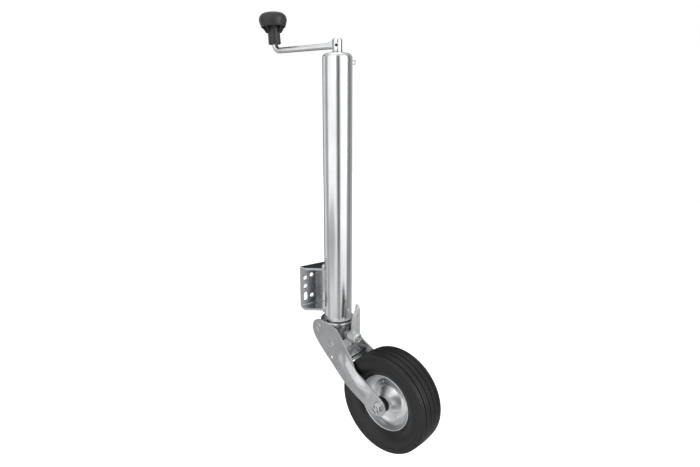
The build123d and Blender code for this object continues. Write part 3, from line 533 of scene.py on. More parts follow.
def add_piece(name: str, surface: Surface, finish: Finish, body: str,
              replaced: tuple[str, ...] = (), crease: float = 40.0,
              soft_edge_mm: float = 0.0) -> bpy.types.Object:
    """Puts a closed surface into the scene, turned outwards by the sign of its volume.

    Args:
        name: Name of the piece.
        surface: Points, quads and triangles.
        finish: Its finish.
        body: The body that it rides on.
        replaced: CAD nodes that it stands for.
        crease: Edges sharper than this many degrees stay sharp.
        soft_edge_mm: Width of the rounding of those edges.

    Returns:
        The new object.
    """
    points, quads, cells = surface
    volume = signed_volume(points, np.concatenate([halved(quads), cells]))
    if volume < 0:
        quads, cells = quads[:, ::-1], cells[:, ::-1]
    mesh = bpy.data.meshes.new(name)
    mesh.from_pydata(points.tolist(), [], quads.tolist() + cells.tolist())
    shell = bmesh.new()
    shell.from_mesh(mesh)
    bmesh.ops.remove_doubles(shell, verts=shell.verts, dist=1e-7)
    shell.to_mesh(mesh)
    shell.free()
    mesh.shade_smooth()
    mesh.set_sharp_from_angle(angle=radians(crease))
    mesh.materials.append(finish.material())
    piece = linked(name, mesh)
    if soft_edge_mm:
        soften(piece, soft_edge_mm, crease)
    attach(piece, body)
    if replaced:
        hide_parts(*replaced)
    LOG.info("%s: %d points, volume %.1f cm3", name, len(points), abs(volume) * 1e6)
    return piece


@dataclass
class Fork:
    """The two pressed arms, joggled out to the wheel's width, with a soft bead along the lower half."""

    sheet: float = 3.0
    joggle: float = 15.2
    flare: Pair = (62.0, 124.0)
    flare_rise: float = 32.0
    # Softness of the two bends, as a share of the flare's width squared
    bend_soft: float = 0.07
    bead: tuple[Pair, Pair] = ((50.0, -78.0), (117.0, -119.5))
    bead_height: float = 8.0
    bead_half_width: float = 16.0
    bead_round: float = 1.35
    # How far before the bead's first end and past its last end it fades, and over what length
    fade_in: Pair = (24.0, 34.0)
    fade_out: Pair = (16.0, 40.0)
    # Pivot, stop bar, axle, drain hole and pip: place and radius
    holes: tuple[Triple, ...] = ((*LAYOUT.pivot, 8.0), (*LAYOUT.stop, 7.0), (*LAYOUT.axle, 6.25),
                                 (5.5, -85.9, 3.5), (20.6, -79.7, 1.5))
    cell: float = 1.5

    def outline(self) -> np.ndarray:
        """Side view of an arm: lobe at the pivot, straight back and round end at the axle.

        Returns:
            Points round the outline in (s, h).
        """
        corners = [(-47.5, -49.5), (-22.5, -75.7), (0, -94.4), (30, -112.5), (60, -126), (90, -139.3),
                   (120, -153.5), (144, -162.8), (162, -158.5), (170.6, -142.5), (165, -126.5),
                   (152, -117.7), (127.5, -102.6), (102, -89.6), (87, -82), (77, -69.5), (66, -58.8),
                   (53.3, -50), (36.8, -33.3), (20.2, -16.1), (4, -8.6), (-16, -4.8), (-34, -5.5),
                   (-51.5, -16), (-53.6, -37)]
        return closed_spline(corners, self.cell)

    def height(self, s: np.ndarray, h: np.ndarray) -> np.ndarray:
        """Lateral distance of the outer face: a ramp with rounded bends plus the bead.

        The ramp is k(x) - k(x - 1), where k(x) = (x + sqrt(x^2 + e)) / 2 and x runs from 0 to 1 over the
        flare. The bead is H (1 - (d / W)^2)^1.35 at distance d from its line, faded at both ends by
        q^2 (3 - 2 q), where q runs from 0 to 1 over the fade.

        Args:
            s: Distances along the trail.
            h: Heights.

        Returns:
            Lateral distances from the fork's middle.
        """
        rise = radians(self.flare_rise)
        share = (s * cos(rise) - h * sin(rise) - self.flare[0]) / (self.flare[1] - self.flare[0])
        first_bend = share + np.sqrt(share ** 2 + self.bend_soft)
        last_bend = share - 1 + np.sqrt((share - 1) ** 2 + self.bend_soft)
        ramp = (first_bend - last_bend) / 2
        first, last = (np.array(end) for end in self.bead)
        length = np.linalg.norm(last - first)
        run = (last - first) / length
        along = (s - first[0]) * run[0] + (h - first[1]) * run[1]
        across = (s - first[0]) * run[1] - (h - first[1]) * run[0]
        section = np.clip(1 - (across / self.bead_half_width) ** 2, 0, None) ** self.bead_round
        enter = np.clip((along + self.fade_in[0]) / self.fade_in[1], 0, 1)
        leave = np.clip((length + self.fade_out[0] - along) / self.fade_out[1], 0, 1)
        fade = enter ** 2 * (3 - 2 * enter) * leave ** 2 * (3 - 2 * leave)
        return LAYOUT.cheek + self.joggle * ramp + self.bead_height * section * fade

    def arm(self, side: Side) -> None:
        """One arm: the outer face, and the same face set in by the sheet along its own slope.

        It is set in by sheet * sqrt(1 + a^2 + b^2), where a and b are the slopes along and up.

        Args:
            side: Near or far.
        """
        flat, cells = plate_cells(self.outline(), list(self.holes), self.cell)
        s, h = flat[:, 0], flat[:, 1]
        outside = self.height(s, h)
        probe = 0.2
        lean_s = (self.height(s + probe, h) - self.height(s - probe, h)) / (2 * probe)
        lean_h = (self.height(s, h + probe) - self.height(s, h - probe)) / (2 * probe)
        thick = self.sheet * np.sqrt(1 + lean_s ** 2 + lean_h ** 2)
        outer, inner = (framed(s, side.value * lateral, h) for lateral in (outside, outside - thick))
        label = side.name.lower()
        add_piece(f"fork_arm_{label}_pressed", walled(outer, inner, cells), FORK_ZINC,
                  "fork", (f"fork_arm_{label}",), soft_edge_mm=0.5)

    def build(self) -> None:
        """Builds both arms."""
        for side in Side:
            self.arm(side)


@dataclass
class Latch:
    """Cast lever: a ribbed finger on a round barrel, with a hooked plate below it."""

    axis: Pair = (3.0, -31.0)
    bore: float = 6.2
    finger: Pair = (46.0, 53.0)
    rib_height: float = 3.8
    voxel_mm: float = 0.55
    smoothings: int = 4

    def barrel_profile(self) -> np.ndarray:
        """Section of the barrel about the pin: bore, spring recess, tapered nose and domed front.

        Returns:
            Rows of distance along the pin and radius.
        """
        nose = np.array([(24.6, 6.6), (26.4, 8.2), (33.0, 8.8), (36.5, 10.2), (39.5, 12.6)])
        dome = arc_points((60.2, 12.8), (62.8, 11.9), (64.2, 9.6), 8)
        inside = np.array([(64.6, 7.4), (64.4, self.bore), (49.0, self.bore), (49.0, 9.0), (38.2, 9.0),
                           (38.2, self.bore), (24.6, self.bore)])
        return np.concatenate([nose, dome, inside])

    def shells(self) -> Surface:
        """Barrel turned about the pin, and finger, rib and hook as bars along it, in (s, lateral, h).

        Returns:
            The four closed shells in the frame.
        """
        points, quads = lathed(self.barrel_profile(), 64)
        barrel = points + [0, self.axis[0], self.axis[1]]
        finger = prism([(8.6, -22.5), (8.2, -5), (7.2, 3), (6.0, 10), (5.0, 16), (3.6, 20), (0.8, 22.5),
                        (-1.0, 24.5), (-2.4, 29), (-4.2, 34), (-5.2, 38), (-6.4, 42.6),
                        (-8.4, 42.8), (-9.8, 40), (-10.4, 36), (-10.5, 31), (-10.5, 26), (-10.5, 22),
                        (-10.5, 18), (-10.5, 12), (-10.5, 6), (-10.5, 0), (-10.5, -9), (-10.5, -22.5)],
                       self.finger)
        rib = prism([(-4.6, -24.5), (-4.6, 33), (-7.4, 39), (-8.2, 39), (-10.5, 33), (-10.5, -24.5)],
                    (self.finger[1] - 1, self.finger[1] + self.rib_height))
        parts = [(framed(shell[:, 0], shell[:, 1], shell[:, 2]), faces)
                 for shell, faces in ((barrel, quads), finger, rib, self.hook())]
        return joined(parts)

    def hook(self) -> Shell:
        """Hooked plate: side by side corners from its foot up to the barrel, with a round notch.

        Returns:
            Points and quads.
        """
        left = [(18.0, -66.2), (22.4, -60.5), (24.1, -54.0), (24.0, -51.6), (21.4, -51.4), (20.0, -53.4),
                (18.2, -54.4), (16.4, -53.2), (16.2, -51.0), (17.4, -48.8), (18.0, -44.5), (11.0, -38.0)]
        right = [(-6.0, -38.6), (-7.0, -43.5), (-7.6, -46.0), (-7.4, -48.5), (-6.8, -51.0), (-6.0, -53.5),
                 (-5.0, -56.0), (-3.8, -58.0), (-2.2, -60.0), (2.0, -62.0), (9.0, -64.0), (17.6, -66.4)]
        return prism(left + right, (self.finger[0] + 0.5, self.finger[1] - 0.5))

    def build(self) -> None:
        """Builds the lever."""
        cast(add_piece("latch_lever_cast", self.shells(), CAST_ZINC, "latch",
                       ("latch_lever",), crease=180), self.voxel_mm, self.smoothings)


@dataclass
class Head:
    """Casting at the foot of the column: a round plug with a keyway, a lug and the pivot's cross boss."""

    radius: float = 24.0
    levels: Pair = (-46.0, -2.0)
    # Window of the keyway: from and to across the plug, then from and to in height
    keyway: tuple[float, float, float, float] = (0.3, 3.1, -26.0, -7.0)
    keyway_share: float = 0.89
    steps: int = 288
    voxel_mm: float = 0.7
    smoothings: int = 3

    def plug(self) -> Shell:
        """Round plug, whose radius drops to 0.89 of itself inside the keyway's window.

        Returns:
            Points and quads.
        """
        low, high = self.levels
        left, right, foot, crest = self.keyway
        rows = np.array([(low, 0.0), (low, 22.4), (low + 1.6, self.radius), (foot, self.radius),
                         (foot + 0.3, self.radius), (crest - 0.3, self.radius), (crest, self.radius),
                         (high - 0.4, self.radius), (high, self.radius - 0.4), (high, 0.0)])
        angle = np.arange(self.steps) * 2 * pi / self.steps
        across = self.radius * np.sin(angle)
        window = (across > left) & (across < right) & (np.cos(angle) > 0)
        tall = (rows[:, 0] > foot + 0.1) & (rows[:, 0] < crest - 0.1)
        bend = np.where(tall[:, None] & window[None, :], self.keyway_share, 1.0)
        points, quads = lathed(rows, self.steps, bend)
        return framed(points[:, 1], points[:, 2], points[:, 0]), quads[:-self.steps]

    def boss(self) -> Shell:
        """Cross boss: a tube about the pivot.

        Returns:
            Points and quads.
        """
        profile = np.array([(-24.4, 8.1), (-24.4, 10.6), (-24.0, 11.0), (24.0, 11.0), (24.4, 10.6),
                            (24.4, 8.1)])
        points, quads = lathed(profile, 72)
        return about(points, LAYOUT.pivot), quads

    def lug(self) -> Shell:
        """Lug between the plug and the boss.

        Returns:
            Points and quads.
        """
        points, quads = prism([(-20.0, -45.8), (-28.0, -37.0), (-30.0, -30.0), (-28.0, -16.0),
                               (-20.0, -19.0), (-8.0, -19.5), (-2.0, -30.0), (-2.0, -45.8)], (-19.0, 19.0))
        return about(points, (0.0, 0.0)), quads

    def build(self) -> None:
        """Builds the casting from its three shells."""
        # The head's finish is painted darker, standing for the shade between the fork arms
        cast(add_piece("column_head_cast", joined([self.plug(), self.boss(), self.lug()]), SHADE_PAINTED_CASTING,
                       "column", ("column_head",), crease=180), self.voxel_mm,
             self.smoothings)


@dataclass
class BracketWelds:
    """Weld beads between the tube and the bracket's flanges: ripples along an arc round the tube."""

    radius: float = 31.4
    sweep: float = 108.0
    level: float = 51.2
    leg: float = 5.2
    # Ripples: the radius at which they are measured, the distance between two, their share of the leg,
    # and the share of a slower swell
    wave_radius: float = 30.6
    pitch: float = 4.2
    ripple: float = 0.15
    swell: float = 0.08
    steps: int = 120

    def bead(self, side: int) -> Shell:
        """Bar along the arc whose radius is leg (1 + 0.15 sin(2 pi x / 4.2) + 0.08 sin(17 t)).

        Here x is the distance along the arc and t its angle. The radius fades by sqrt(1 - q^10) towards
        the ends, where q is -1 at the first and 1 at the last.

        Args:
            side: One for the top flange, minus one for the bottom.

        Returns:
            Points in metres and quads.
        """
        turn = radians(90) + np.radians(np.linspace(-self.sweep / 2, self.sweep / 2, self.steps))
        ends = np.sqrt(np.clip(1 - np.linspace(-1, 1, self.steps) ** 10, 0, 1))
        waves = 1 + self.ripple * np.sin(turn * self.wave_radius * 2 * pi / self.pitch)
        waves = waves + self.swell * np.sin(turn * 17.0)
        path = np.stack([self.radius * np.cos(turn), self.radius * np.sin(turn)], axis=1)
        points, quads = swept(path, self.leg * waves * ends, 16)
        return (points + [*FOOT[:2], side * self.level]) * MM, quads

    def build(self) -> None:
        """Builds both beads as one piece."""
        add_piece("bracket_weld_beads", joined([self.bead(1), self.bead(-1)]), WELD_ZINC,
                  "mast", ("bracket_welds",), crease=180)


@dataclass
class AxleEnd:
    """Castle nut with its split pin, and the bolt sunk below the nut's crown."""

    flats: float = 19.0
    seat: float = 45.0
    shank: float = 6.0
    # The nut's two heights above its seat: the shoulder of the hexagon and the crown's top
    nut_rise: Pair = (6.0, 10.0)
    # The crown's outer radius, and the radius at which its slots are measured
    crown: float = 8.6
    crown_middle: float = 7.4
    slot_count: int = 6
    slot_half: float = 1.4
    # Radians by which the nut's hexagon stands turned
    nut_turned: float = 0.35
    turns: int = 240
    pin_angle: float = -42.0

    @property
    def tip(self) -> float:
        """Distance from the axle to a corner of the hexagon."""
        return self.flats / 2 / cos(pi / 6)

    def hexagon(self, rows: np.ndarray, turned: float) -> np.ndarray:
        """Radius factor of a hexagon on chosen rows: cos 30 / cos(t mod 60 - 30), one elsewhere.

        Args:
            rows: True for each row of the profile that is a hexagon.
            turned: Its turn in radians.

        Returns:
            A factor for each row and step.
        """
        angle = np.arange(self.turns) * 2 * pi / self.turns + turned
        flat = cos(pi / 6) / np.cos(angle % (pi / 3) - pi / 6)
        return np.where(rows[:, None], flat, 1.0)

    def nut(self) -> Shell:
        """Hexagon below a round crown, cut down to its foot where r |t - t0| is under half a slot's width.

        Returns:
            Points and quads.
        """
        low, tip = self.seat, self.tip
        shoulder, top = (self.seat + rise for rise in self.nut_rise)
        profile = np.array([(low, 6.05), (low, tip), (shoulder - 0.8, tip), (shoulder, tip - 1.4),
                            (shoulder, self.crown), (shoulder + 0.4, 8.5), (top - 0.5, 8.4), (top, 7.9),
                            (top, 6.9), (top - 0.4, 6.4), (shoulder + 0.4, 6.3), (shoulder, 6.05)])
        bend = self.hexagon(profile[:, 1] > self.crown, self.nut_turned)
        points, quads = lathed(profile, self.turns, bend)
        grid = points.reshape(len(profile), self.turns, 3)
        angle = np.arange(self.turns) * 2 * pi / self.turns - radians(self.pin_angle)
        every = 2 * pi / self.slot_count
        aside = np.abs((angle + every / 2) % every - every / 2) * self.crown_middle
        cut = (aside < self.slot_half)[None, :] & (profile[:, 0] > shoulder + 0.5)[:, None]
        grid[..., 0] = np.where(cut, shoulder + 0.6, grid[..., 0])
        return about(grid.reshape(-1, 3), LAYOUT.axle), quads

    def pin(self) -> Shell:
        """Split pin: a straight bar through two slots with its leg bent down over the crown.

        Returns:
            Points and quads.
        """
        run = np.array([(-9.6, 53.2), (-9.5, 53.2), (-8.5, 53.2), (-4.0, 53.2), (0.0, 53.2), (4.0, 53.2),
                        (8.6, 53.2), (9.7, 52.9), (10.3, 52.0), (10.5, 50.5), (10.5, 48.6), (10.5, 48.5)])
        radius = np.array([0.0, 1.1, 1.3, 1.3, 1.3, 1.3, 1.3, 1.3, 1.3, 1.3, 1.1, 0.0])
        points, quads = swept(run, radius, 14)
        turn = radians(self.pin_angle)
        along, lateral, aside = points.T
        return framed(LAYOUT.axle[0] + along * cos(turn) - aside * sin(turn), lateral,
                      LAYOUT.axle[1] + along * sin(turn) + aside * cos(turn)), quads

    def bolt(self) -> Shell:
        """Bolt: hexagon head on the far side, plain shank and a chamfered end.

        Returns:
            Points and quads.
        """
        head, tip, shank = -self.seat, self.tip, self.shank
        profile = np.array([(head - 9.6, 0.0), (head - 9.8, 6.0), (head - 9.6, tip - 1.5),
                            (head - 8.8, tip), (head, tip), (head, shank), (48.0, shank),
                            (49.0, shank - 1), (49.1, 0.0)])
        points, quads = lathed(profile, self.turns, self.hexagon(profile[:, 1] > shank, 0.0))
        return about(points, LAYOUT.axle), quads[:-self.turns]

    def build(self) -> None:
        """Builds the nut with its pin, and the bolt."""
        add_piece("axle_castle_nut", joined([self.nut(), self.pin()]), TURNED_STEEL,
                  "fork", ("axle_nut",), crease=32, soft_edge_mm=0.25)
        add_piece("axle_bolt_turned", joined([self.bolt()]), TURNED_STEEL, "fork",
                  ("axle_bolt",), crease=32, soft_edge_mm=0.3)


@dataclass
class PinWelds:
    """Lumpy welds that hold the pivot pin and the stop bar in the arms."""

    # The pads: middle from the pivot, half sizes along and up, and grid
    pad_shift: Pair = (-0.5, -1.0)
    pad_half: Pair = (6.2, 10.2)
    pad_rise: float = 1.1
    pad_rows: int = 14
    steps: int = 48
    # The beads: radius round the stop bar, thickness at the middle, and reach in degrees
    bead_radius: float = 6.6
    bead_thick: float = 1.25
    bead_reach: Pair = (-105.0, 75.0)

    def pad(self, side: Side) -> Shell:
        """Pad over the pin: height 1.1 sqrt(1 - q^4) with small lumps, on an oval stretched up and down.

        The lumps are 0.35 (1 - q^2) sin(1.3 s + 0.9 h) sin(1.9 h - 0.7 s), where q runs from 0 in the
        middle to 1 at the oval.

        Args:
            side: Near or far.

        Returns:
            Points and quads.
        """
        q, t = np.meshgrid(np.linspace(0, 1, self.pad_rows), np.arange(self.steps) * 2 * pi / self.steps,
                           indexing="ij")
        s = LAYOUT.pivot[0] + self.pad_shift[0] + self.pad_half[0] * q * np.cos(t)
        h = LAYOUT.pivot[1] + self.pad_shift[1] + self.pad_half[1] * q * np.sin(t)
        lumps = 0.35 * (1 - q ** 2) * np.sin(1.3 * s + 0.9 * h) * np.sin(1.9 * h - 0.7 * s)
        rise = self.pad_rise * np.sqrt(np.clip(1 - q ** 4, 0, 1)) + lumps
        top = framed(s, side.value * (LAYOUT.cheek + rise - 0.05), h)
        low = framed(s, side.value * (LAYOUT.cheek - 0.4 + 0 * s), h)
        grid = np.concatenate([top, low[::-1]]).reshape(-1, 3)
        return grid, ring_quads(2 * self.pad_rows, self.steps)[:-self.steps]

    def crescent(self, side: Side) -> Shell:
        """Bead round part of the stop bar: a bar along an arc whose radius swells to its middle.

        The radius is 1.25 sqrt(1 - q^4) (1 + 0.12 sin 9t), where q is -1 and 1 at the ends.

        Args:
            side: Near or far.

        Returns:
            Points and quads.
        """
        turn = np.linspace(*np.radians(self.bead_reach), 26)
        swell = self.bead_thick * np.sqrt(np.clip(1 - np.linspace(-1, 1, 26) ** 4, 0, 1))
        swell = swell * (1 + 0.12 * np.sin(9 * turn))
        path = LAYOUT.stop + self.bead_radius * np.stack([np.cos(turn), np.sin(turn)], axis=1)
        points, quads = swept(path, swell, 12)
        return framed(points[:, 0], side.value * (LAYOUT.cheek + 0.1 + points[:, 2]), points[:, 1]), quads

    def build(self) -> None:
        """Builds the welds of both sides as one piece."""
        shells = [make(side) for side in Side for make in (self.pad, self.crescent)]
        add_piece("fork_pin_welds", joined(shells), WELD_ZINC, "fork", crease=180)


@dataclass
class Rivets:
    """Domed rivets through the two rim halves."""

    circle: float = 39.5
    count: int = 4
    first: float = 30.0
    head: Pair = (3.8, 1.3)
    shank: float = 2.45
    face: float = 2.4
    steps: int = 24

    def build(self) -> None:
        """Builds every rivet as a shank between two domes: r = R sin u and H cos u above the ring."""
        u = np.linspace(0, pi / 2, 7)
        dome = np.stack([self.face + self.head[1] * np.cos(u), self.head[0] * np.sin(u)], axis=1)
        shank = np.array([(self.face, self.shank), (-self.face, self.shank)])
        profile = np.concatenate([dome, shank, (dome * [-1, 1])[::-1]])
        points, quads = lathed(profile, self.steps)
        shells = []
        for turn in np.radians(self.first + np.arange(self.count) * 360 / self.count):
            place = (LAYOUT.axle[0] + self.circle * cos(turn), LAYOUT.axle[1] + self.circle * sin(turn))
            shells.append((about(points, place), quads[:-self.steps]))
        add_piece("rim_rivets_domed", joined(shells), TURNED_STEEL, "wheel",
                  ("rim_rivets",), crease=50)


@dataclass
class Wheel:
    """Solid tyre, two pressed rim halves and two cups, all turned about the axle."""

    radius: float = 107.5
    tread_half: float = 29.0
    tread_drop: float = 1.6
    half_width: float = 32.5
    # Grooves of the tread: their places across it, depth and half width
    main_grooves: tuple[float, ...] = (-21.5, -7.0, 7.0, 21.5)
    main_cut: Pair = (2.8, 1.25)
    fine_grooves: tuple[float, ...] = (-28.0, -14.5, 0.0, 14.5, 28.0)
    fine_cut: Pair = (1.1, 0.7)
    # Corner between the tread and the side wall: middle and radius
    corner: Pair = (102.4, 3.5)
    # Side wall: from and to in radius, the radius where it starts to draw in, and how far it draws in,
    # over what height and with what power
    wall: Pair = (102.0, 61.9)
    wall_bend: float = 92.0
    wall_draw: Triple = (12.5, 30.2, 2.67)
    # Grooves of the side wall, round the tread's edge and the rim: radius, depth and half width
    wall_grooves: tuple[Triple, ...] = ((95.0, 0.8, 1.2), (66.6, 0.7, 0.7))
    # Step of the side wall: radius, height and softness
    wall_step: Triple = (100.0, 0.5, 0.35)
    # The flare that the tyre sits on: three points of its arc in radius and distance
    flare: tuple[Pair, Pair, Pair] = ((50.0, 0.0), (57.6, 7.5), (60.0, 20.0))

    def tyre_profile(self) -> np.ndarray:
        """Section of the tyre.

        At l across, the tread is R - 1.6 (l / 29)^2 less the grooves, each D exp(-((l - g) / w)^4), and
        it turns into the side wall by a quarter circle. The side wall is
        32.5 - 12.5 ((92 - r) / 30.2)^2.67 below r = 92, less two ring grooves of the same form and a step
        of 0.5 / (1 + exp(-(r - 100) / 0.35)).

        Returns:
            Rows of radius and lateral distance.
        """
        across = np.linspace(-self.tread_half, self.tread_half, 176)
        tread = self.radius - self.tread_drop * (across / self.tread_half) ** 2
        for places, (depth, width) in ((self.main_grooves, self.main_cut),
                                       (self.fine_grooves, self.fine_cut)):
            for place in places:
                tread = tread - depth * np.exp(-((across - place) / width) ** 4)
        shoulder = np.linspace(0, pi / 2, 9)[1:]
        middle, bend = self.corner
        corner = np.stack([middle + bend * np.cos(shoulder), self.tread_half + bend * np.sin(shoulder)],
                          axis=1)
        r = np.linspace(*self.wall, 74)
        draw, height, power = self.wall_draw
        wall = self.half_width - draw * np.clip((self.wall_bend - r) / height, 0, None) ** power
        for place, depth, width in self.wall_grooves:
            wall = wall - depth * np.exp(-((r - place) / width) ** 4)
        place, height, softness = self.wall_step
        wall = wall - height / (1 + np.exp(-(r - place) / softness))
        side = np.concatenate([corner, np.stack([r, wall], axis=1)])
        seat = arc_points(*self.flare[::-1], 8)
        inside = np.concatenate([seat, (seat * [1, -1])[-2::-1]])
        return np.concatenate([np.stack([tread, across], axis=1), side, inside, (side * [1, -1])[::-1]])

    def rim_profile(self, side: Side) -> np.ndarray:
        """Section of a rim half: web, flare and rolled lip, one sheet thick.

        Args:
            side: Near or far.

        Returns:
            Rows of radius and lateral distance.
        """
        flare = arc_points(*self.flare, 18)
        back = arc_points((58.8, 20.2), (55.0, 7.9), (45.9, 1.3), 20)
        lip = arc_points((61.5, 20.3), (60.2, 21.5), (58.9, 20.4), 9)
        web = np.array([(45.2, 1.2), (38.0, 1.2), (31.0, 1.2), (31.0, 0.0), (38.0, 0.0), (46.0, 0.0)])
        return np.concatenate([flare, [(61.5, 20.0)], lip, back[1:], web]) * [1, side.value]

    def cup_profile(self, side: Side) -> np.ndarray:
        """Section of a cup: flat ring with a rolled edge, a rib at its foot, the dome and a short neck.

        Args:
            side: Near or far.

        Returns:
            Rows of radius and lateral distance.
        """
        outer = arc_points((30.8, 2.4), (24.9, 8.6), (17.6, 18.4), 20)
        inner = arc_points((15.8, 19.2), (23.9, 7.3), (30.6, 1.2), 20)
        edge = np.array([(44.4, 1.2), (45.0, 1.6), (45.0, 2.1), (44.4, 2.4), (40.0, 2.4), (34.2, 2.4),
                         (33.2, 2.9), (32.2, 2.9), (31.4, 2.6)])
        neck = np.array([(17.1, 19.6), (17.0, 21.0), (17.0, 25.1), (16.6, 25.5), (16.1, 25.5),
                         (15.8, 25.2)])
        return np.concatenate([edge, outer, neck, inner, [(38.0, 1.2)]]) * [1, side.value]

    def ring(self, name: str, profile: np.ndarray, steps: int, finish: Finish,
             replaced: str) -> None:
        """Turns a section about the axle into a piece of the wheel.

        Args:
            name: Name of the piece.
            profile: Rows of radius and lateral distance.
            steps: Steps round the axle.
            finish: Its finish.
            replaced: The CAD node that it stands for.
        """
        points, quads = lathed(profile[:, ::-1], steps)
        surface = joined([(about(points, LAYOUT.axle), quads)])
        add_piece(name, surface, finish, "wheel", (replaced,), crease=50)

    def build(self) -> None:
        """Builds the tyre, the rim halves and the cups."""
        self.ring("tyre_moulded", self.tyre_profile(), 208, SOLID_RUBBER, "tyre")
        for side in Side:
            for part, profile, steps in (("rim", self.rim_profile(side), 160),
                                         ("hub_cup", self.cup_profile(side), 144)):
                node = f"{part}_{side.name.lower()}"
                self.ring(f"{node}_pressed", profile, steps, RIM_ZINC, node)


@dataclass
class Dressing:
    """Gives every CAD node its finish, joins its loose triangles, and softens the edges of some."""

    soft_edge_mm: dict[str, float] = field(default_factory=lambda: {
        "mounting_bracket": 0.7, "fork_bridge": 0.6, "axle_washers": 0.3, "crank_hub": 0.4,
        "crank_arm": 0.4, "crank_knob": 0.6, "collar_cup": 0.4, "outer_tube": 0.5, "latch_pin": 0.5})
    # Nodes whose finish differs from the rest of their slot; the bracket's darker grey is painted shade
    own_finish: dict[str, Finish] = field(default_factory=lambda: {
        "crank_pin": PHOSPHATED_STEEL, "mounting_bracket": SHADE_PAINTED_CHANNEL_ZINC})
    crease: float = 32.0
    weld_mm: float = 0.01

    def dress(self) -> None:
        """Assigns the finishes and adds the weld and bevel modifiers."""
        slots = {entry["node"]: entry["material_slot"] for entry in frame["record"]["subparts"]}
        for name, node in frame["nodes"].items():
            node.data.materials.clear()
            finish = self.own_finish.get(name, SLOT_FINISH[slots[name]])
            node.data.materials.append(finish.material())
            node.modifiers.new("join", "WELD").merge_threshold = self.weld_mm * MM
            if name in self.soft_edge_mm:
                soften(node, self.soft_edge_mm[name], self.crease)
            LOG.info("dressed %s", name)


@dataclass(frozen=True)
class Lamp:
    """One rectangular lamp: its name, centre, the point it faces, width and height, and power in watts."""

    name: str
    place: Triple
    target: Triple
    size: Pair
    watts: float


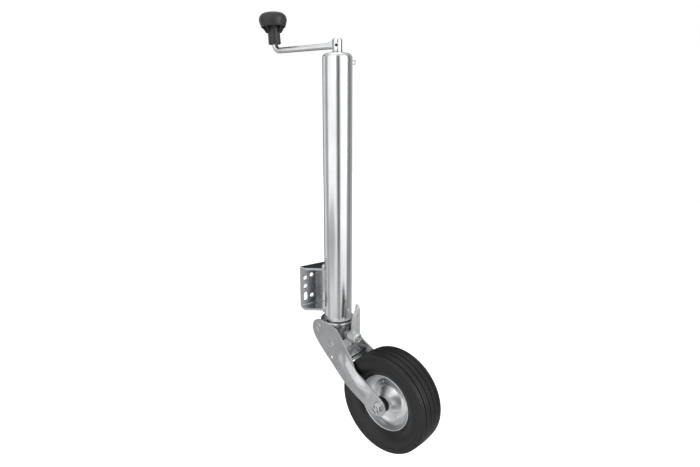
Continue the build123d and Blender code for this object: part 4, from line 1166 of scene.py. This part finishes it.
@dataclass
class Studio:
    """Camera at the photograph's angle, pale floor and soft lamps, in metres."""

    camera_place: Triple = (-0.5728, -0.9329, 0.3919)
    heading: float = 34.86
    pitch: float = 14.2
    roll: float = 0.13
    lens_mm: float = 25.546
    sensor_mm: float = 36.0
    # The floor lies below the wheel of the fully lowered column with its fork folded down
    floor_z: float = -0.69
    floor_half: float = 6.0
    floor_tone: str = "EFEFEF"
    floor_glow: float = 0.86
    # Walls, soft boxes and dark gaps round the object: degrees right of the camera's side, and brightness
    panels: tuple[Pair, ...] = (
        (-180, 0.03), (-152, 0.16), (-132, 0.80), (-112, 0.74), (-98, 0.38), (-84, 0.40), (-72, 1.15),
        (-12, 1.15), (-1, 0.30), (8, 0.10), (16, 0.14), (26, 1.2), (76, 1.2), (88, 0.42), (104, 0.20),
        (122, 0.24), (140, 0.60), (158, 0.12), (180, 0.03))
    # Grey card that only reflections see, and that the lower parts mirror: its middle, and where it fades
    grey_middle: Triple = (-1.02, -0.12, -0.3151)
    grey_fade: Pair = (0.72, 0.36)
    grey_level: float = 0.5
    # Ceiling and ground of the reflections: colour, and where the panels turn to it in height of direction
    ceiling: tuple[Triple, Pair] = ((0.74, 0.74, 0.75), (0.45, 0.80))
    ground: tuple[Triple, Pair] = ((0.45, 0.45, 0.45), (-0.45, -0.80))
    # Even light from all round
    fill_tone: str = "E6E6E6"
    fill_strength: float = 0.55
    lamps: tuple[Lamp, ...] = (
        Lamp("key_lamp", (-1.5, -0.9, 1.3), (0, -0.1, 0.1), (1.2, 1.6), 3.5),
        Lamp("rim_lamp", (0.75, -1.5, 0.5), (0, -0.15, -0.1), (0.9, 1.3), 8.0),
        Lamp("top_lamp", (0.0, 0.2, 2.0), (0, -0.1, 0.0), (1.4, 1.4), 4.0))

    def camera(self) -> None:
        """Places the camera: a heading right of +Y, a pitch down and a small roll."""
        ahead = Vector((sin(radians(self.heading)) * cos(radians(self.pitch)),
                        cos(radians(self.heading)) * cos(radians(self.pitch)), -sin(radians(self.pitch))))
        right = ahead.cross(Vector((0, 0, 1))).normalized()
        above = right.cross(ahead)
        turn = Matrix((right, above, -ahead)).transposed().to_4x4()
        turn = turn @ Matrix.Rotation(radians(self.roll), 4, "Z")
        data = bpy.data.cameras.new("photo_camera")
        data.lens, data.sensor_width = self.lens_mm, self.sensor_mm
        data.clip_start = 0.01
        body = linked("photo_camera", data)
        body.matrix_world = Matrix.Translation(Vector(self.camera_place)) @ turn
        bpy.context.scene.camera = body

    def floor(self) -> None:
        """Pale floor, white to the camera but for the shadow, and clear in reflections and from below."""
        tree = self.square("studio_floor", (0.0, 0.0, self.floor_z), self.floor_half)
        shader = tree.nodes["Principled BSDF"]
        shader.inputs["Base Color"].default_value = hex_linear(self.floor_tone)
        shader.inputs["Roughness"].default_value = 0.9
        path = add_node(tree, "ShaderNodeLightPath")
        glow = add_node(tree, "ShaderNodeEmission", {"Color": (1, 1, 1, 1), "Strength": self.floor_glow})
        lit = add_node(tree, "ShaderNodeAddShader", {}, {0: shader.outputs[0], 1: glow.outputs[0]})
        seen = add_node(tree, "ShaderNodeMixShader", {}, {0: path.outputs["Is Camera Ray"],
                                                          1: shader.outputs[0], 2: lit.outputs[0]})
        clear = add_node(tree, "ShaderNodeBsdfTransparent")
        mirrored = add_node(tree, "ShaderNodeMath", {}, {0: path.outputs["Is Glossy Ray"],
                                                         1: path.outputs["Is Transmission Ray"]},
                            operation="MAXIMUM")
        below = add_node(tree, "ShaderNodeNewGeometry").outputs["Backfacing"]
        opened = add_node(tree, "ShaderNodeMath", {}, {0: mirrored.outputs[0], 1: below},
                          operation="MAXIMUM")
        mix = add_node(tree, "ShaderNodeMixShader", {}, {0: opened.outputs[0], 1: seen.outputs[0],
                                                         2: clear.outputs[0]})
        tree.links.new(mix.outputs[0], tree.nodes["Material Output"].inputs["Surface"])

    def card(self) -> None:
        """Grey card beside the object, clear to every ray but those of reflections."""
        tree = self.square("studio_card", self.grey_middle, self.grey_fade[0])
        place = add_node(tree, "ShaderNodeTexCoord").outputs["Object"]
        apart = add_node(tree, "ShaderNodeVectorMath", {1: self.grey_middle}, {0: place},
                         operation="DISTANCE")
        near = add_node(tree, "ShaderNodeMapRange",
                        {"From Min": self.grey_fade[0], "From Max": self.grey_fade[1]},
                        {"Value": apart.outputs["Value"]}, interpolation_type="SMOOTHSTEP")
        path = add_node(tree, "ShaderNodeLightPath")
        share = add_node(tree, "ShaderNodeMath", {}, {0: near.outputs[0], 1: path.outputs["Is Glossy Ray"]},
                         operation="MULTIPLY")
        clear = add_node(tree, "ShaderNodeBsdfTransparent")
        grey = add_node(tree, "ShaderNodeEmission", {"Color": (self.grey_level,) * 3 + (1,),
                                                     "Strength": 1.0})
        mix = add_node(tree, "ShaderNodeMixShader", {}, {0: share.outputs[0], 1: clear.outputs[0],
                                                         2: grey.outputs[0]})
        tree.links.new(mix.outputs[0], tree.nodes["Material Output"].inputs["Surface"])

    def square(self, name: str, middle: Triple, reach: float) -> bpy.types.NodeTree:
        """Adds one level square of the studio.

        Args:
            name: Name of the square and of its paint.
            middle: Its middle.
            reach: Half its side.

        Returns:
            The node tree of its paint.
        """
        x, y, z = middle
        mesh = bpy.data.meshes.new(name)
        mesh.from_pydata([(x - reach, y - reach, z), (x + reach, y - reach, z), (x + reach, y + reach, z),
                          (x - reach, y + reach, z)], [], [(0, 1, 2, 3)])
        paint = bpy.data.materials.new(name)
        paint.use_nodes = True
        mesh.materials.append(paint)
        linked(name, mesh)
        return paint.node_tree

    def world(self) -> None:
        """White to the camera, panels and gaps in reflections, and a soft grey fill otherwise."""
        world = bpy.data.worlds.new("studio")
        bpy.context.scene.world = world
        world.use_nodes = True
        tree = world.node_tree
        fill = tree.nodes["Background"]
        fill.inputs["Color"].default_value = hex_linear(self.fill_tone)
        fill.inputs["Strength"].default_value = self.fill_strength
        towards = add_node(tree, "ShaderNodeTexCoord").outputs["Generated"]
        split = add_node(tree, "ShaderNodeSeparateXYZ", {}, {0: towards})
        around = add_node(tree, "ShaderNodeMath", {}, {0: split.outputs["Y"], 1: split.outputs["X"]},
                          operation="ARCTAN2")
        turned = add_node(tree, "ShaderNodeMath", {1: radians(90 + self.heading)}, {0: around.outputs[0]},
                          operation="ADD")
        wrapped = add_node(tree, "ShaderNodeMath", {1: pi, 2: -pi}, {0: turned.outputs[0]},
                           operation="WRAP")
        share = add_node(tree, "ShaderNodeMapRange", {"From Min": -pi, "From Max": pi},
                         {"Value": wrapped.outputs[0]})
        ramp = add_node(tree, "ShaderNodeValToRGB", {}, {0: share.outputs[0]})
        ramp.color_ramp.interpolation = "EASE"
        stops = ramp.color_ramp.elements
        for angle, level in self.panels[1:-1]:
            stops.new((angle + 180) / 360).color = (level, level, level, 1)
        stops[0].color = (self.panels[0][1],) * 3 + (1,)
        stops[-1].color = (self.panels[-1][1],) * 3 + (1,)
        room = ramp.outputs[0]
        for colour, (first, last) in (self.ceiling, self.ground):
            reached = add_node(tree, "ShaderNodeMapRange", {"From Min": first, "From Max": last},
                               {"Value": split.outputs["Z"]})
            room = add_node(tree, "ShaderNodeMix", {7: (*colour, 1)}, {0: reached.outputs[0], 6: room},
                            data_type="RGBA").outputs[2]
        mirror = add_node(tree, "ShaderNodeBackground", {"Strength": 1.0}, {"Color": room})
        white = add_node(tree, "ShaderNodeBackground", {"Color": (1, 1, 1, 1), "Strength": 1.0})
        path = add_node(tree, "ShaderNodeLightPath")
        glossy = add_node(tree, "ShaderNodeMixShader", {}, {0: path.outputs["Is Glossy Ray"],
                                                            1: fill.outputs[0], 2: mirror.outputs[0]})
        seen = add_node(tree, "ShaderNodeMath", {}, {0: path.outputs["Is Camera Ray"],
                                                     1: path.outputs["Is Transmission Ray"]},
                        operation="MAXIMUM")
        mix = add_node(tree, "ShaderNodeMixShader", {}, {0: seen.outputs[0], 1: glossy.outputs[0],
                                                         2: white.outputs[0]})
        tree.links.new(mix.outputs[0], tree.nodes["World Output"].inputs["Surface"])

    def light(self, lamp: Lamp) -> None:
        """Adds one rectangular lamp that looks at its target.

        Args:
            lamp: The lamp.
        """
        data = bpy.data.lights.new(lamp.name, "AREA")
        data.shape = "RECTANGLE"
        data.size, data.size_y = lamp.size
        data.energy = lamp.watts
        aim = Vector(lamp.target) - Vector(lamp.place)
        turn = aim.to_track_quat("-Z", "Y").to_matrix().to_4x4()
        linked(lamp.name, data).matrix_world = Matrix.Translation(Vector(lamp.place)) @ turn

    def build(self) -> None:
        """Builds the whole studio."""
        self.camera()
        self.floor()
        self.card()
        self.world()
        for lamp in self.lamps:
            self.light(lamp)
        LOG.info("studio built")


def main() -> None:
    """Builds the scene in order."""
    logging.basicConfig(level=logging.INFO, format="%(name)s: %(message)s")
    bpy.context.scene.view_settings.view_transform = "Standard"
    Studio().build()
    Dressing().dress()
    BracketWelds().build()
    Head().build()
    Fork().build()
    PinWelds().build()
    Latch().build()
    Wheel().build()
    Rivets().build()
    AxleEnd().build()


if __name__ == "__main__":
    main()
